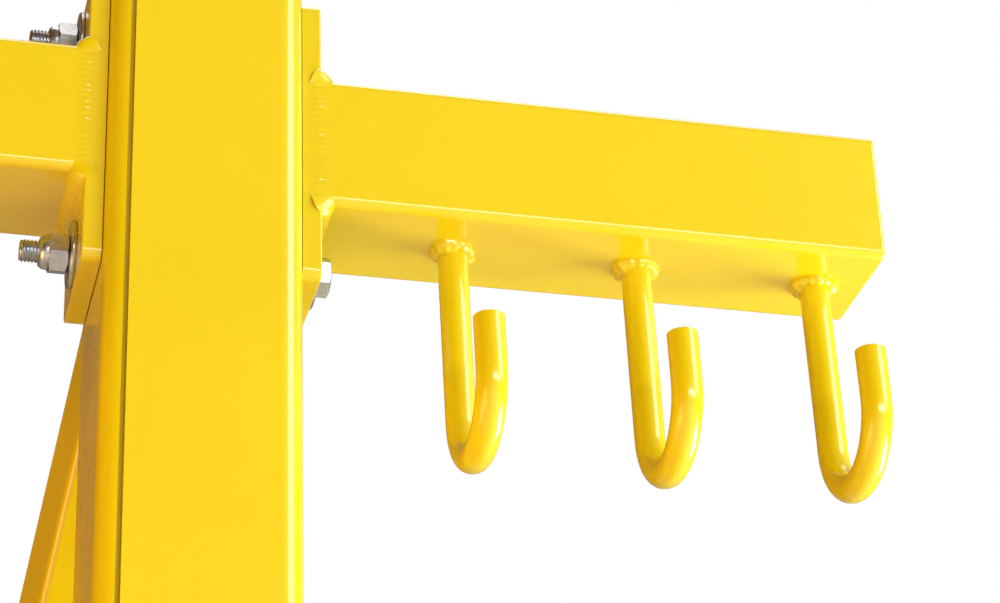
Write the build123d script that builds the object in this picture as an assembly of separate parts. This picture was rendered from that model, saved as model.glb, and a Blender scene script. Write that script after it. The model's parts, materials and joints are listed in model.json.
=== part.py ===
from build123d import *
import math
import os

# Heavy-duty engine hoist crane: a square mast on a wheeled base, a hydraulic boom, and a pair of
# cross arms with J-hooks through-bolted to the mast.
# Millimetres.  +X is to the right seen from the operator's side, +Y is forward, towards the boom
# tip, and +Z is up.  The layout below is laid out from the mast: X = 0 is its mid-plane, Y = 0 its
# rear face, Z = 0 the floor.  Every part is written with CENTRE_Y taken off its Y, so that the
# origin of the finished object is the middle of its footprint.

# --- mast -------------------------------------------------------------------------------------
MAST_SIZE = 100.0
MAST_WALL = 5.0
MAST_CORNER = 12.0
SEAM_X = -39.2
SEAM_WIDTH = 2.6
SEAM_DEPTH = 4.2
MAST_Y = MAST_SIZE / 2
MAST_TOP_Z = 1572.0
PIVOT_Z = 1640.0

# --- cross arms and their J-hooks -------------------------------------------------------------
ARM_Z = 1000.0
ARM_SIZE = 75.0
ARM_WALL = 4.0
ARM_CORNER = 5.0
ARM_Y = 48.7
ARM_END_X = 360.0
ARM_CAP = 5.0
LEFT_ARM_RISE = 6.0
FLANGE_THICK = 10.0
FLANGE_GAP = 0.4
FLANGE_LOW_Z = ARM_Z - 81.5
FLANGE_HIGH_Z = ARM_Z + 84.0
FLANGE_CORNER = 6.0
ARM_BOLT_Y = 49.0
ARM_BOLT_LEVELS = (ARM_Z - 60.0, ARM_Z + 67.0)
ARM_BOLT_END_X = -87.5
ARM_HOOK_FIRST_X = 137.0
ARM_HOOK_PITCH = 100.0
ARM_HOOK_COUNT = 3
HOOK_ROD_R = 8.0
HOOK_BEND_R = 32.5
HOOK_DROP = 137.3
HOOK_RETURN = 26.0
HOOK_LEAN = 1.1

# --- fasteners --------------------------------------------------------------------------------
M12_R = 6.0
M12_HOLE_R = 6.5
M12_FLATS = 19.0
M12_HEAD = 8.0
M12_NUT = 10.5
NUT_COLLAR = 4.5
NUT_COLLAR_R = 8.6
COUNTERSINK_R = 11.6
COUNTERSINK_DEPTH = 6.0
WASHER_THICK = 2.5
WASHER_R = 17.5

# --- base frame -------------------------------------------------------------------------------
BEAM_SIZE = 75.0
BEAM_WALL = 4.0
BEAM_CORNER = 7.0
BEAM_LOW_Z = 130.0
BEAM_TOP_Z = BEAM_LOW_Z + BEAM_SIZE
BEAM_MID_Z = BEAM_LOW_Z + BEAM_SIZE / 2
REAR_BEAM_HALF = 290.0
FRONT_BEAM_Y = 607.0
RAIL_X = 138.0
RAIL_SIZE = 60.0
FOOT_PLATE = (184.0, 112.0, 12.0)
FOOT_BOLT_X = 74.0
FOOT_BOLT_Y = 22.0

# --- braces: two square tubes from the mast's front face, down and outwards -------------------
BRACE_SIZE = 40.0
BRACE_WALL = 4.0
BRACE_CORNER = 4.0
BRACE_TOP_X = 24.0
BRACE_TOP_Z = ARM_Z - 70.5
BRACE_STEEP = 35.64
BRACE_SPLAY = 12.65
BRACE_FOOT_THICK = 10.0
BRACE_FOOT = (130.0, 62.0)

# --- folding legs -----------------------------------------------------------------------------
LEG_X = 300.0
LEG_SIZE = 70.0
LEG_WALL = 4.0
LEG_CORNER = 7.0
LEG_PIVOT_Y = 690.0
LEG_PIVOT_Z = BEAM_LOW_Z + LEG_SIZE / 2
LEG_HEEL = 40.0
LEG_TIP_Y = 1560.0
LEG_BOLT_R = 8.0
BRACKET_THICK = 10.0
BRACKET_GAP = 0.5
BRACKET_REAR_Y = 566.0
BRACKET_FRONT_Y = 762.0
BRACKET_TOP_Z = 236.0
LEG_PIN_R = 6.0
LEG_PIN_Z = 216.0
LEG_PIN_PARK_Y = 600.0
LEG_PIN_LOCK_Y = 744.0

# --- wheels -----------------------------------------------------------------------------------
WHEEL_R = 50.0
WHEEL_WIDTH = 32.0
AXLE_R = 6.0
CASTER_X = 235.0
CASTER_TRAIL = 35.0
CASTER_PLATE = (104.0, 74.0, 6.0)
KINGPIN_R = 7.0
FORK_PLATE = 5.0
FORK_INNER = WHEEL_WIDTH / 2 + 2.0
FRONT_WHEEL_Y = LEG_TIP_Y - 45.0

# --- boom -------------------------------------------------------------------------------------
BOOM_ANGLE = 33.0
BOOM_SIZE = 80.0
BOOM_WALL = 5.0
BOOM_CORNER = 9.0
BOOM_TAIL = 45.0
BOOM_LENGTH = 950.0
PIVOT_R = 10.0
SLEEVE_R = 17.0
HEAD_THICK = 10.0
LUG_REACH = 470.0
LUG_DROP = 85.0
LUG_THICK = 9.0
LUG_HALF_GAP = 15.8
EXT_SIZE = 66.0
EXT_WALL = 5.0
EXT_INSIDE = 430.0
EXT_OUTSIDE = 230.0
NOSE_REACH = 65.0
NOSE_PIN_R = 8.0
NOSE_HALF_GAP = 16.0
NOSE_THICK = 10.0
CLAMP_R = 7.0

# --- hydraulic ram ----------------------------------------------------------------------------
RAM_FOOT_Y = 180.0
RAM_FOOT_Z = 1010.0
BARREL_R = 30.0
BARREL_BORE_R = 25.0
BARREL_TOP = 515.0
GLAND_TOP = 540.0
BASE_TOP = 72.0
BASE_HALF_WIDTH = 21.5
ROD_R = 15.0
ROD_LENGTH = 455.0
EYE_R = 29.0
EYE_HOLE_R = 19.7
EYE_HALF_WIDTH = 14.0
PUMP_OFFSET = 54.0
PUMP_R = 17.0
PUMP_TOP = 146.0
PLUNGER_R = 8.0
CRANK_R = 28.0
CRANK_DIP = 20.0
PUMP_PIVOT_UP = 186.0
VALVE_OFFSET = 30.0
VALVE_UP = 52.0
HANDLE_LEAN = 5.0
HANDLE_LENGTH = 420.0
HANDLE_R = 12.5

# --- load hook --------------------------------------------------------------------------------
SHANK_R = 9.0
YOKE_BAR_DROP = 64.0
YOKE_DROP = 108.0
BOWL_R = 31.0
LATCH_ROOT_R = 3.2

RUNNING = 0.06
SIDE_GAP = 0.4

REAR_END_Y = MAST_Y - CASTER_TRAIL - WHEEL_R
FRONT_END_Y = LEG_TIP_Y + 4.0
CENTRE_Y = (REAR_END_Y + FRONT_END_Y) / 2


# --- general shapes ---------------------------------------------------------------------------
def tube(length, width, height, wall, corner):
    """Rectangular tube along +Z from the origin, open at both ends."""
    inner_corner = max(corner - wall, 1.0)
    outline = RectangleRounded(width, height, corner)
    hollow = RectangleRounded(width - 2 * wall, height - 2 * wall, inner_corner)
    return extrude(outline - hollow, length)


def rod_x(radius, x_low, x_high, y, z):
    """Round bar parallel to X."""
    middle = (x_low + x_high) / 2
    return Pos(middle, y, z) * Rot(0, 90, 0) * Cylinder(radius, x_high - x_low)


def rod_z(radius, z_low, z_high, x, y):
    """Round bar parallel to Z."""
    return Pos(x, y, (z_low + z_high) / 2) * Cylinder(radius, z_high - z_low)


def block(x_range, y_range, z_range):
    """Box between three pairs of limits."""
    size = [high - low for low, high in (x_range, y_range, z_range)]
    middle = [(high + low) / 2 for low, high in (x_range, y_range, z_range)]
    return Pos(*middle) * Box(*size)


def hexagon_x(flats, x_low, x_high, y, z):
    """Hexagonal prism parallel to X."""
    prism = extrude(RegularPolygon(flats / 2, 6, major_radius=False), x_high - x_low)
    return Pos(x_low, y, z) * Rot(0, 90, 0) * prism


def hexagon_z(flats, z_low, z_high, x, y):
    """Hexagonal prism parallel to Z."""
    prism = extrude(RegularPolygon(flats / 2, 6, major_radius=False), z_high - z_low)
    return Pos(x, y, z_low) * prism


def plate_yz(points, x_low, x_high):
    """Flat plate with an outline given as (y, z) points, between two X limits."""
    outline = make_face(Polyline(*points, close=True))
    raised = extrude(outline, x_high - x_low)
    turned = Rot(0, 90, 0) * Rot(0, 0, 90) * raised
    return Pos(x_low, 0, 0) * turned


def mirrored(shape):
    return mirror(shape, about=Plane.YZ)


def along(y, z, angle):
    """Frame whose local +Z lies in the YZ plane, angle degrees above +Y, and whose local +Y is
    the lower, forward side of it.  Local +X stays +X."""
    return Pos(0, y, z) * Rot(angle - 90, 0, 0)


def upright_bolt(x, y, z_seat, length):
    """M12 screw standing on its seat, head and washer in one piece, shank going down."""
    washer = rod_z(11.5, z_seat, z_seat + 2.0, x, y)
    head = hexagon_z(M12_FLATS, z_seat + 2.0, z_seat + 2.0 + M12_HEAD, x, y)
    shank = rod_z(M12_R, z_seat - length, z_seat, x, y)
    return washer + head + shank


# --- base frame -------------------------------------------------------------------------------
def cross_beam(half_length, y):
    beam = tube(2 * half_length, BEAM_SIZE, BEAM_SIZE, BEAM_WALL, BEAM_CORNER)
    return Pos(-half_length, y, BEAM_MID_Z) * Rot(0, 90, 0) * beam


def foot_bolt_places():
    return [(sx * FOOT_BOLT_X, MAST_Y + sy * FOOT_BOLT_Y) for sx in (-1, 1) for sy in (-1, 1)]


def brace_bolt_places():
    x, y, _ = brace_point(BEAM_TOP_Z)
    spread = BRACE_FOOT[0] / 2 - 18.0
    return [(side * (x + out * spread), y) for side in (-1, 1) for out in (-1, 1)]


def rear_crossbeam():
    beam = cross_beam(REAR_BEAM_HALF, MAST_Y)
    for x, y in foot_bolt_places():
        beam -= rod_z(M12_HOLE_R, BEAM_TOP_Z - 20, BEAM_TOP_Z + 5, x, y)
    return beam


def front_crossbeam():
    half = LEG_X - LEG_SIZE / 2 - BRACKET_GAP - BRACKET_THICK
    beam = cross_beam(half, FRONT_BEAM_Y)
    for x, y in brace_bolt_places():
        beam -= rod_z(M12_HOLE_R, BEAM_TOP_Z - 20, BEAM_TOP_Z + 5, x, y)
    return beam


def side_rails():
    start = MAST_Y + BEAM_SIZE / 2
    rail = tube(FRONT_BEAM_Y - BEAM_SIZE / 2 - start, RAIL_SIZE, RAIL_SIZE, BEAM_WALL, BEAM_CORNER)
    laid = Rot(-90, 0, 0) * rail
    return [Pos(side * RAIL_X, start, BEAM_MID_Z) * laid for side in (-1, 1)]


def mast_foot_plate():
    width, depth, thick = FOOT_PLATE
    plate = extrude(RectangleRounded(width, depth, 8.0), thick)
    plate = Pos(0, MAST_Y, BEAM_TOP_Z) * plate
    for x, y in foot_bolt_places():
        plate -= rod_z(M12_HOLE_R, BEAM_TOP_Z - 5, BEAM_TOP_Z + thick + 5, x, y)
    return plate


def mast_foot_bolts():
    seat = BEAM_TOP_Z + FOOT_PLATE[2]
    return [upright_bolt(x, y, seat, 32.0) for x, y in foot_bolt_places()]


def mast_gussets():
    low = BEAM_TOP_Z + FOOT_PLATE[2]
    inner = MAST_SIZE / 2
    shape = make_face(Polyline((inner, low), (inner + 36, low), (inner + 36, low + 12),
                               (inner + 12, low + 90), (inner, low + 90), close=True))
    web = Pos(0, MAST_Y + 4, 0) * Rot(90, 0, 0) * extrude(shape, 8)
    return [web, mirrored(web)]


def mast_tube():
    """Roll-formed column; its closing seam is a groove beside the rear left corner."""
    low = BEAM_TOP_Z + FOOT_PLATE[2]
    mast = Pos(0, MAST_Y, low) * tube(MAST_TOP_Z - low, MAST_SIZE, MAST_SIZE, MAST_WALL, MAST_CORNER)
    for z in ARM_BOLT_LEVELS:
        mast -= rod_x(M12_HOLE_R, -60, 60, ARM_BOLT_Y, z)
    return mast - block((SEAM_X - SEAM_WIDTH / 2, SEAM_X + SEAM_WIDTH / 2), (-1, SEAM_DEPTH),
                        (low - 1, MAST_TOP_Z + 1))


def mast_head():
    """Cap plate and two cheeks that carry the boom's pivot bolt."""
    inner = MAST_SIZE / 2
    cap = Pos(0, MAST_Y, MAST_TOP_Z) * extrude(RectangleRounded(MAST_SIZE, MAST_SIZE, 12.0), 6)
    low = MAST_TOP_Z - 95
    top = PIVOT_Z + 6
    outline = [(8, low), (92, low), (96, low + 30), (96, top), (4, top), (4, low + 30)]
    cheek = plate_yz(outline, inner, inner + HEAD_THICK)
    cheek += rod_x(46, inner, inner + HEAD_THICK, MAST_Y, PIVOT_Z)
    cheek -= rod_x(PIVOT_R, inner - 5, inner + HEAD_THICK + 5, MAST_Y, PIVOT_Z)
    return cap + cheek + mirrored(cheek)


def boom_pivot_bolt():
    outer = MAST_SIZE / 2 + HEAD_THICK
    bolt = rod_x(PIVOT_R, -outer - 26, outer + 3, MAST_Y, PIVOT_Z)
    bolt += rod_x(18.5, outer, outer + 3, MAST_Y, PIVOT_Z)
    return bolt + hexagon_x(30, outer + 3, outer + 15.5, MAST_Y, PIVOT_Z)


def boom_pivot_nut():
    outer = MAST_SIZE / 2 + HEAD_THICK
    nut = rod_x(18.5, -outer - 3, -outer, MAST_Y, PIVOT_Z)
    nut += hexagon_x(30, -outer - 21, -outer - 3, MAST_Y, PIVOT_Z)
    return nut - rod_x(PIVOT_R, -outer - 30, -outer + 5, MAST_Y, PIVOT_Z)


# --- braces -----------------------------------------------------------------------------------
def brace_direction():
    """Unit vector down the right-hand brace."""
    steep = math.radians(BRACE_STEEP)
    splay = math.radians(BRACE_SPLAY)
    return Vector(math.sin(splay) * math.sin(steep), math.cos(splay) * math.sin(steep),
                  -math.cos(steep))


def brace_point(z):
    """Point on the right-hand brace's centre line at a height."""
    way = brace_direction()
    travel = (BRACE_TOP_Z - z) / -way.Z
    return (BRACE_TOP_X + way.X * travel, MAST_SIZE + way.Y * travel, z)


def brace():
    """Right-hand brace, cut flush to the mast's front face and to its foot plate."""
    splay = math.radians(BRACE_SPLAY)
    across = Vector(math.cos(splay), -math.sin(splay), 0)
    start = Vector(*brace_point(BRACE_TOP_Z + 60))
    end = Vector(*brace_point(BEAM_TOP_Z - 40))
    run = Plane(origin=start, x_dir=across, z_dir=end - start)
    body = run * tube((end - start).length, BRACE_SIZE, BRACE_SIZE, BRACE_WALL, BRACE_CORNER)
    room = block((0, 400), (MAST_SIZE, 900), (BEAM_TOP_Z + BRACE_FOOT_THICK, 1200))
    return body & room


def brace_feet():
    x, y, _ = brace_point(BEAM_TOP_Z)
    width, depth = BRACE_FOOT
    foot = extrude(RectangleRounded(width, depth, 8.0), BRACE_FOOT_THICK)
    foot = Pos(x, y, BEAM_TOP_Z) * foot
    for bolt_x, bolt_y in brace_bolt_places():
        foot -= rod_z(M12_HOLE_R, BEAM_TOP_Z - 5, BEAM_TOP_Z + 20, bolt_x, bolt_y)
    return [foot, mirrored(foot)]


def brace_bolts():
    seat = BEAM_TOP_Z + BRACE_FOOT_THICK
    return [upright_bolt(x, y, seat, 30.0) for x, y in brace_bolt_places()]


# --- cross arms -------------------------------------------------------------------------------
def arm_start_x():
    return MAST_SIZE / 2 + FLANGE_GAP + FLANGE_THICK


def arm_tube():
    """Right-hand arm; the left one is its mirror, set a little higher."""
    length = ARM_END_X - arm_start_x()
    arm = tube(length, ARM_SIZE, ARM_SIZE, ARM_WALL, ARM_CORNER)
    return Pos(arm_start_x(), ARM_Y, ARM_Z) * Rot(0, 90, 0) * arm


def arm_end_cap():
    cap = extrude(RectangleRounded(ARM_SIZE, ARM_SIZE, ARM_CORNER), ARM_CAP)
    cap = fillet(cap.faces().sort_by(Axis.Z)[-1].edges(), 2.0)
    return Pos(ARM_END_X, ARM_Y, ARM_Z) * Rot(0, 90, 0) * cap


def arm_flange():
    """Plate against the mast's side, with two bolt holes."""
    height = FLANGE_HIGH_Z - FLANGE_LOW_Z
    plate = extrude(RectangleRounded(height, ARM_SIZE, FLANGE_CORNER), FLANGE_THICK)
    plate = fillet(plate.faces().sort_by(Axis.Z)[-1].edges(), 1.0)
    inner = MAST_SIZE / 2 + FLANGE_GAP
    plate = Pos(inner, ARM_Y, (FLANGE_HIGH_Z + FLANGE_LOW_Z) / 2) * Rot(0, 90, 0) * plate
    for z in ARM_BOLT_LEVELS:
        plate -= rod_x(M12_HOLE_R, inner - 5, inner + 20, ARM_BOLT_Y, z)
    return plate


def arm_hook(x):
    """J-hook of round rod, welded on with a slight lean and turned up towards the operator."""
    top = Vector(x, ARM_Y, ARM_Z - ARM_SIZE / 2)
    low = Vector(x, ARM_Y, ARM_Z - HOOK_DROP)
    bottom = Vector(x, ARM_Y - HOOK_BEND_R, ARM_Z - HOOK_DROP - HOOK_BEND_R)
    rising = Vector(x, ARM_Y - 2 * HOOK_BEND_R, ARM_Z - HOOK_DROP)
    tip = rising + Vector(0, 0, HOOK_RETURN)
    path = Wire([Edge.make_line(top, low), Edge.make_three_point_arc(low, bottom, rising),
                 Edge.make_line(rising, tip)])
    rod = sweep(Plane(origin=top, z_dir=(0, 0, -1)) * Circle(HOOK_ROD_R), path)
    hinge = Pos(x, ARM_Y, top.Z)
    leaning = hinge * Rot(0, -HOOK_LEAN, 0) * hinge.inverse() * rod
    stub = leaning - block((x - 40, x + 40), (0, 100), (top.Z, top.Z + 20))
    collar = Pos(x, ARM_Y, top.Z - 2.5) * Cone(HOOK_ROD_R + 0.5, HOOK_ROD_R + 4.5, 5.0)
    return stub + collar


def arm_hooks():
    return [arm_hook(ARM_HOOK_FIRST_X + i * ARM_HOOK_PITCH) for i in range(ARM_HOOK_COUNT)]


def countersink(radius):
    """Cone at the upper bolt's level, widening to the outer face of the right flange."""
    outer = MAST_SIZE / 2 + FLANGE_GAP + FLANGE_THICK
    cone = Rot(0, 90, 0) * Cone(M12_R, radius, COUNTERSINK_DEPTH)
    return Pos(outer - COUNTERSINK_DEPTH / 2, ARM_BOLT_Y, ARM_BOLT_LEVELS[1]) * cone


def arm_bolts():
    """Lower bolt with a hexagon head, and upper bolt with a flush countersunk head."""
    low, high = ARM_BOLT_LEVELS
    seat = MAST_SIZE / 2 + FLANGE_GAP + FLANGE_THICK + WASHER_THICK
    lower = rod_x(M12_R, ARM_BOLT_END_X, seat, ARM_BOLT_Y, low)
    lower += hexagon_x(M12_FLATS, seat, seat + M12_HEAD, ARM_BOLT_Y, low)
    upper = rod_x(M12_R, ARM_BOLT_END_X, seat - WASHER_THICK - 1, ARM_BOLT_Y, high)
    return [lower, upper + countersink(COUNTERSINK_R - 0.3)]


def arm_washers():
    """Wide washers under the lower bolt's head and under both nuts."""
    outer = MAST_SIZE / 2 + FLANGE_GAP + FLANGE_THICK
    washers = []
    for z in ARM_BOLT_LEVELS:
        ring = rod_x(WASHER_R, -outer - WASHER_THICK, -outer, ARM_BOLT_Y, z)
        ring -= rod_x(M12_HOLE_R, -outer - 5, -outer + 1, ARM_BOLT_Y, z)
        washers.append(ring)
    return washers + [mirrored(washers[0])]


def arm_nuts():
    """Lock nuts: a hexagon with a round collar for the locking insert."""
    seat = MAST_SIZE / 2 + FLANGE_GAP + FLANGE_THICK + WASHER_THICK
    nuts = []
    for z in ARM_BOLT_LEVELS:
        nut = hexagon_x(M12_FLATS, -seat - M12_NUT, -seat, ARM_BOLT_Y, z)
        nut += rod_x(NUT_COLLAR_R, -seat - M12_NUT - NUT_COLLAR, -seat - M12_NUT, ARM_BOLT_Y, z)
        nuts.append(nut - rod_x(M12_R, -seat - 20, -seat + 5, ARM_BOLT_Y, z))
    return nuts


# --- wheels and casters -----------------------------------------------------------------------
def wheel():
    """Tread, web and hub turned in one piece about X, with a bore for the axle."""
    half = WHEEL_WIDTH / 2
    outline = Polyline((AXLE_R + RUNNING, -half), (18, -half), (20, -9), (38, -9), (41, -half + 1),
                       (WHEEL_R - 3, -half + 1), (WHEEL_R, -half + 5), (WHEEL_R, half - 5),
                       (WHEEL_R - 3, half - 1), (41, half - 1), (38, 9), (20, 9), (18, half),
                       (AXLE_R + RUNNING, half), close=True)
    turned = revolve(Plane.XZ * make_face(outline), Axis.Z)
    return Rot(0, 90, 0) * turned


def axle(reach):
    """Axle bolt along X with a hex head and a nut of the same size."""
    shaft = rod_x(AXLE_R, -reach - 9, reach, 0, 0)
    return shaft + hexagon_x(17, reach, reach + 7, 0, 0) + hexagon_x(17, -reach - 7, -reach, 0, 0)


def fork_cheek(top_half, top_z, axle_y):
    """Cheek plate on the +X side of a wheel, from a crown down to the axle."""
    outline = [(-top_half, top_z), (axle_y - 15, WHEEL_R), (axle_y - 9, WHEEL_R - 13),
               (axle_y + 9, WHEEL_R - 13), (axle_y + 15, WHEEL_R - 2), (top_half, top_z)]
    cheek = plate_yz(outline, FORK_INNER, FORK_INNER + FORK_PLATE)
    return cheek - rod_x(AXLE_R, FORK_INNER - 5, FORK_INNER + 15, axle_y, WHEEL_R)


def caster_plate():
    """Top plate, bearing boss and riveted kingpin of a swivel caster."""
    width, depth, thick = CASTER_PLATE
    plate = Pos(0, 0, BEAM_LOW_Z - thick) * extrude(RectangleRounded(width, depth, 8.0), thick)
    boss = rod_z(26, BEAM_LOW_Z - 12, BEAM_LOW_Z - thick, 0, 0)
    pin = rod_z(KINGPIN_R, BEAM_LOW_Z - 26, BEAM_LOW_Z - thick, 0, 0)
    rivet = rod_z(13, BEAM_LOW_Z - 26, BEAM_LOW_Z - 20, 0, 0)
    return plate + boss + pin + rivet


def caster_plates():
    return [Pos(side * CASTER_X, MAST_Y, 0) * caster_plate() for side in (-1, 1)]


def caster_fork():
    """Swivel fork: a crown round the kingpin and two trailing cheeks."""
    crown_top = BEAM_LOW_Z - 12 - SIDE_GAP
    crown_low = BEAM_LOW_Z - 20 + SIDE_GAP
    half = FORK_INNER + FORK_PLATE
    crown = block((-half, half), (-28, 28), (crown_low, crown_top))
    cheek = fork_cheek(28, crown_top, -CASTER_TRAIL)
    fork = crown + cheek + mirrored(cheek)
    return fork - rod_z(KINGPIN_R + RUNNING, crown_low - 5, crown_top + 5, 0, 0)


def fork_axle(y):
    return Pos(0, y, WHEEL_R) * axle(FORK_INNER + FORK_PLATE)


def caster_pieces(side):
    place = Pos(side * CASTER_X, MAST_Y, 0)
    fork = [place * caster_fork(), place * fork_axle(-CASTER_TRAIL)]
    rolling = place * Pos(0, -CASTER_TRAIL, WHEEL_R) * wheel()
    return fork, rolling


# --- legs -------------------------------------------------------------------------------------
def leg_bracket():
    """Right-hand leg bracket: two side plates, a rear web and the stop the leg rests on."""
    inner = LEG_SIZE / 2 + BRACKET_GAP
    outer = inner + BRACKET_THICK
    low = BEAM_LOW_Z - 12
    outline = [(BRACKET_REAR_Y, low + 12), (BRACKET_REAR_Y + 14, low), (BRACKET_FRONT_Y - 14, low),
               (BRACKET_FRONT_Y, low + 14), (BRACKET_FRONT_Y, BRACKET_TOP_Z - 20),
               (BRACKET_FRONT_Y - 20, BRACKET_TOP_Z), (BRACKET_REAR_Y + 20, BRACKET_TOP_Z),
               (BRACKET_REAR_Y, BRACKET_TOP_Z - 20)]
    cheek = plate_yz(outline, inner, outer)
    web = block((-inner, inner), (BRACKET_REAR_Y + 2, BRACKET_REAR_Y + 12), (low + 14, 204))
    stop = block((-inner, inner), (LEG_PIVOT_Y + 44, BRACKET_FRONT_Y - 4), (low + 1, low + 11.7))
    cheek -= rod_x(LEG_BOLT_R + RUNNING, inner - 5, outer + 5, LEG_PIVOT_Y, LEG_PIVOT_Z)
    for y in (LEG_PIN_PARK_Y, LEG_PIN_LOCK_Y):
        cheek -= rod_x(LEG_PIN_R + RUNNING, inner - 5, outer + 5, y, LEG_PIN_Z)
    return [Pos(LEG_X, 0, 0) * piece for piece in (cheek, mirrored(cheek), web, stop)]


def leg_hinge_bolts():
    reach = LEG_SIZE / 2 + BRACKET_GAP + BRACKET_THICK
    bolt = rod_x(LEG_BOLT_R, -reach - 16, reach, 0, 0)
    bolt += hexagon_x(24, reach, reach + 10, 0, 0) + hexagon_x(24, -reach - 13, -reach, 0, 0)
    placed = Pos(LEG_X, LEG_PIVOT_Y, LEG_PIVOT_Z) * bolt
    return [placed, mirrored(placed)]


def leg_tube():
    """Right-hand leg with its hinge sleeve and a closed tip."""
    start = LEG_PIVOT_Y - LEG_HEEL
    leg = tube(LEG_TIP_Y - start, LEG_SIZE, LEG_SIZE, LEG_WALL, LEG_CORNER)
    leg = Pos(LEG_X, start, LEG_PIVOT_Z) * Rot(-90, 0, 0) * leg
    half = LEG_SIZE / 2
    leg += rod_x(13, LEG_X - half, LEG_X + half, LEG_PIVOT_Y, LEG_PIVOT_Z)
    leg -= rod_x(LEG_BOLT_R + RUNNING, LEG_X - half - 5, LEG_X + half + 5, LEG_PIVOT_Y, LEG_PIVOT_Z)
    cap = extrude(RectangleRounded(LEG_SIZE, LEG_SIZE, LEG_CORNER), 4)
    return leg + Pos(LEG_X, LEG_TIP_Y, LEG_PIVOT_Z) * Rot(-90, 0, 0) * cap


def leg_fork():
    """Fixed fork under the tip of the right-hand leg, with its axle."""
    top = BEAM_LOW_Z
    half = FORK_INNER + FORK_PLATE
    crown = block((-half, half), (-30, 30), (top - 6, top))
    cheek = fork_cheek(30, top, 0)
    fork = Pos(LEG_X, FRONT_WHEEL_Y, 0) * (crown + cheek + mirrored(cheek))
    return [fork, Pos(LEG_X, 0, 0) * fork_axle(FRONT_WHEEL_Y)]


def leg_wheel():
    return Pos(LEG_X, FRONT_WHEEL_Y, WHEEL_R) * wheel()


def leg_lock_pin():
    """Bent-handled pin of the right-hand leg, parked at the rear of its bracket."""
    reach = LEG_SIZE / 2 + BRACKET_GAP + BRACKET_THICK
    outer = reach + 4
    inner_end = Vector(LEG_X - reach - 10, LEG_PIN_PARK_Y, LEG_PIN_Z)
    corner = Vector(LEG_X + outer + 12, LEG_PIN_PARK_Y, LEG_PIN_Z)
    handle_end = corner + Vector(0, 0, 60)
    path = FilletPolyline(inner_end, corner, handle_end, radius=14)
    bar = sweep(Plane(origin=inner_end, z_dir=(1, 0, 0)) * Circle(LEG_PIN_R), path)
    return bar + rod_x(11, LEG_X + reach + SIDE_GAP, LEG_X + outer, LEG_PIN_PARK_Y, LEG_PIN_Z)


# --- boom: drawn along local +Z from its pivot, with local +Y its underside ----------------------
def boom_place():
    return along(MAST_Y, PIVOT_Z, BOOM_ANGLE)


def boom_tube():
    body = Pos(0, 0, -BOOM_TAIL) * tube(BOOM_LENGTH + BOOM_TAIL, BOOM_SIZE, BOOM_SIZE, BOOM_WALL,
                                        BOOM_CORNER)
    half = BOOM_SIZE / 2
    body += Pos(0, -half - 2.5, BOOM_LENGTH - 60) * Rot(90, 0, 0) * Cylinder(14, 11)
    body -= rod_x(SLEEVE_R, -half - 5, half + 5, 0, 0)
    body -= Pos(0, -half, BOOM_LENGTH - 60) * Rot(90, 0, 0) * Cylinder(CLAMP_R + RUNNING, 30)
    return boom_place() * body


def boom_mouth_collar():
    """Reinforcing band welded round the open end of the boom."""
    band = tube(28, BOOM_SIZE + 12, BOOM_SIZE + 12, 6, 10)
    return boom_place() * Pos(0, 0, BOOM_LENGTH - 30) * band


def boom_pivot_sleeve():
    half = MAST_SIZE / 2 - SIDE_GAP
    sleeve = rod_x(SLEEVE_R, -half, half, 0, 0)
    return boom_place() * (sleeve - rod_x(PIVOT_R + RUNNING, -half - 5, half + 5, 0, 0))


def boom_lugs():
    """Two ears under the boom that hold the ram's upper pin."""
    half = BOOM_SIZE / 2
    tip = LUG_DROP
    outline = [(half, LUG_REACH - 62), (tip + 4, LUG_REACH - 22), (tip + 20, LUG_REACH - 8),
               (tip + 20, LUG_REACH + 8), (tip + 4, LUG_REACH + 22), (half, LUG_REACH + 62)]
    ear = plate_yz(outline, LUG_HALF_GAP, LUG_HALF_GAP + LUG_THICK)
    ear -= rod_x(PIVOT_R + RUNNING, LUG_HALF_GAP - 5, LUG_HALF_GAP + 20, tip, LUG_REACH)
    return [boom_place() * ear, boom_place() * mirrored(ear)]


def ram_top_pin():
    outer = LUG_HALF_GAP + LUG_THICK
    pin = rod_x(PIVOT_R, -outer - 6, outer, LUG_DROP, LUG_REACH)
    pin += rod_x(15, outer, outer + 6, LUG_DROP, LUG_REACH)
    clip = rod_x(13, -outer - 4, -outer - 1, LUG_DROP, LUG_REACH)
    return boom_place() * (pin + clip)


def boom_clamp_screw():
    """T-handled screw through the top of the boom that grips the extension."""
    half = BOOM_SIZE / 2
    tip = EXT_SIZE / 2 + SIDE_GAP
    screw = Pos(0, -(tip + half + 30) / 2, 0) * Rot(90, 0, 0) * Cylinder(CLAMP_R, half + 30 - tip)
    bar = rod_x(5, -42, 42, -half - 26, 0)
    for side in (-1, 1):
        bar += rod_x(8, side * 43 - 7, side * 43 + 7, -half - 26, 0)
    return boom_place() * Pos(0, 0, BOOM_LENGTH - 60) * (screw + bar)


def extension_tube():
    start = BOOM_LENGTH - EXT_INSIDE
    body = tube(EXT_INSIDE + EXT_OUTSIDE, EXT_SIZE, EXT_SIZE, EXT_WALL, 7)
    return boom_place() * Pos(0, 0, start) * body


def nose_point():
    """Distance along the boom of the pin that carries the hook."""
    return BOOM_LENGTH + EXT_OUTSIDE + NOSE_REACH


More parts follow.
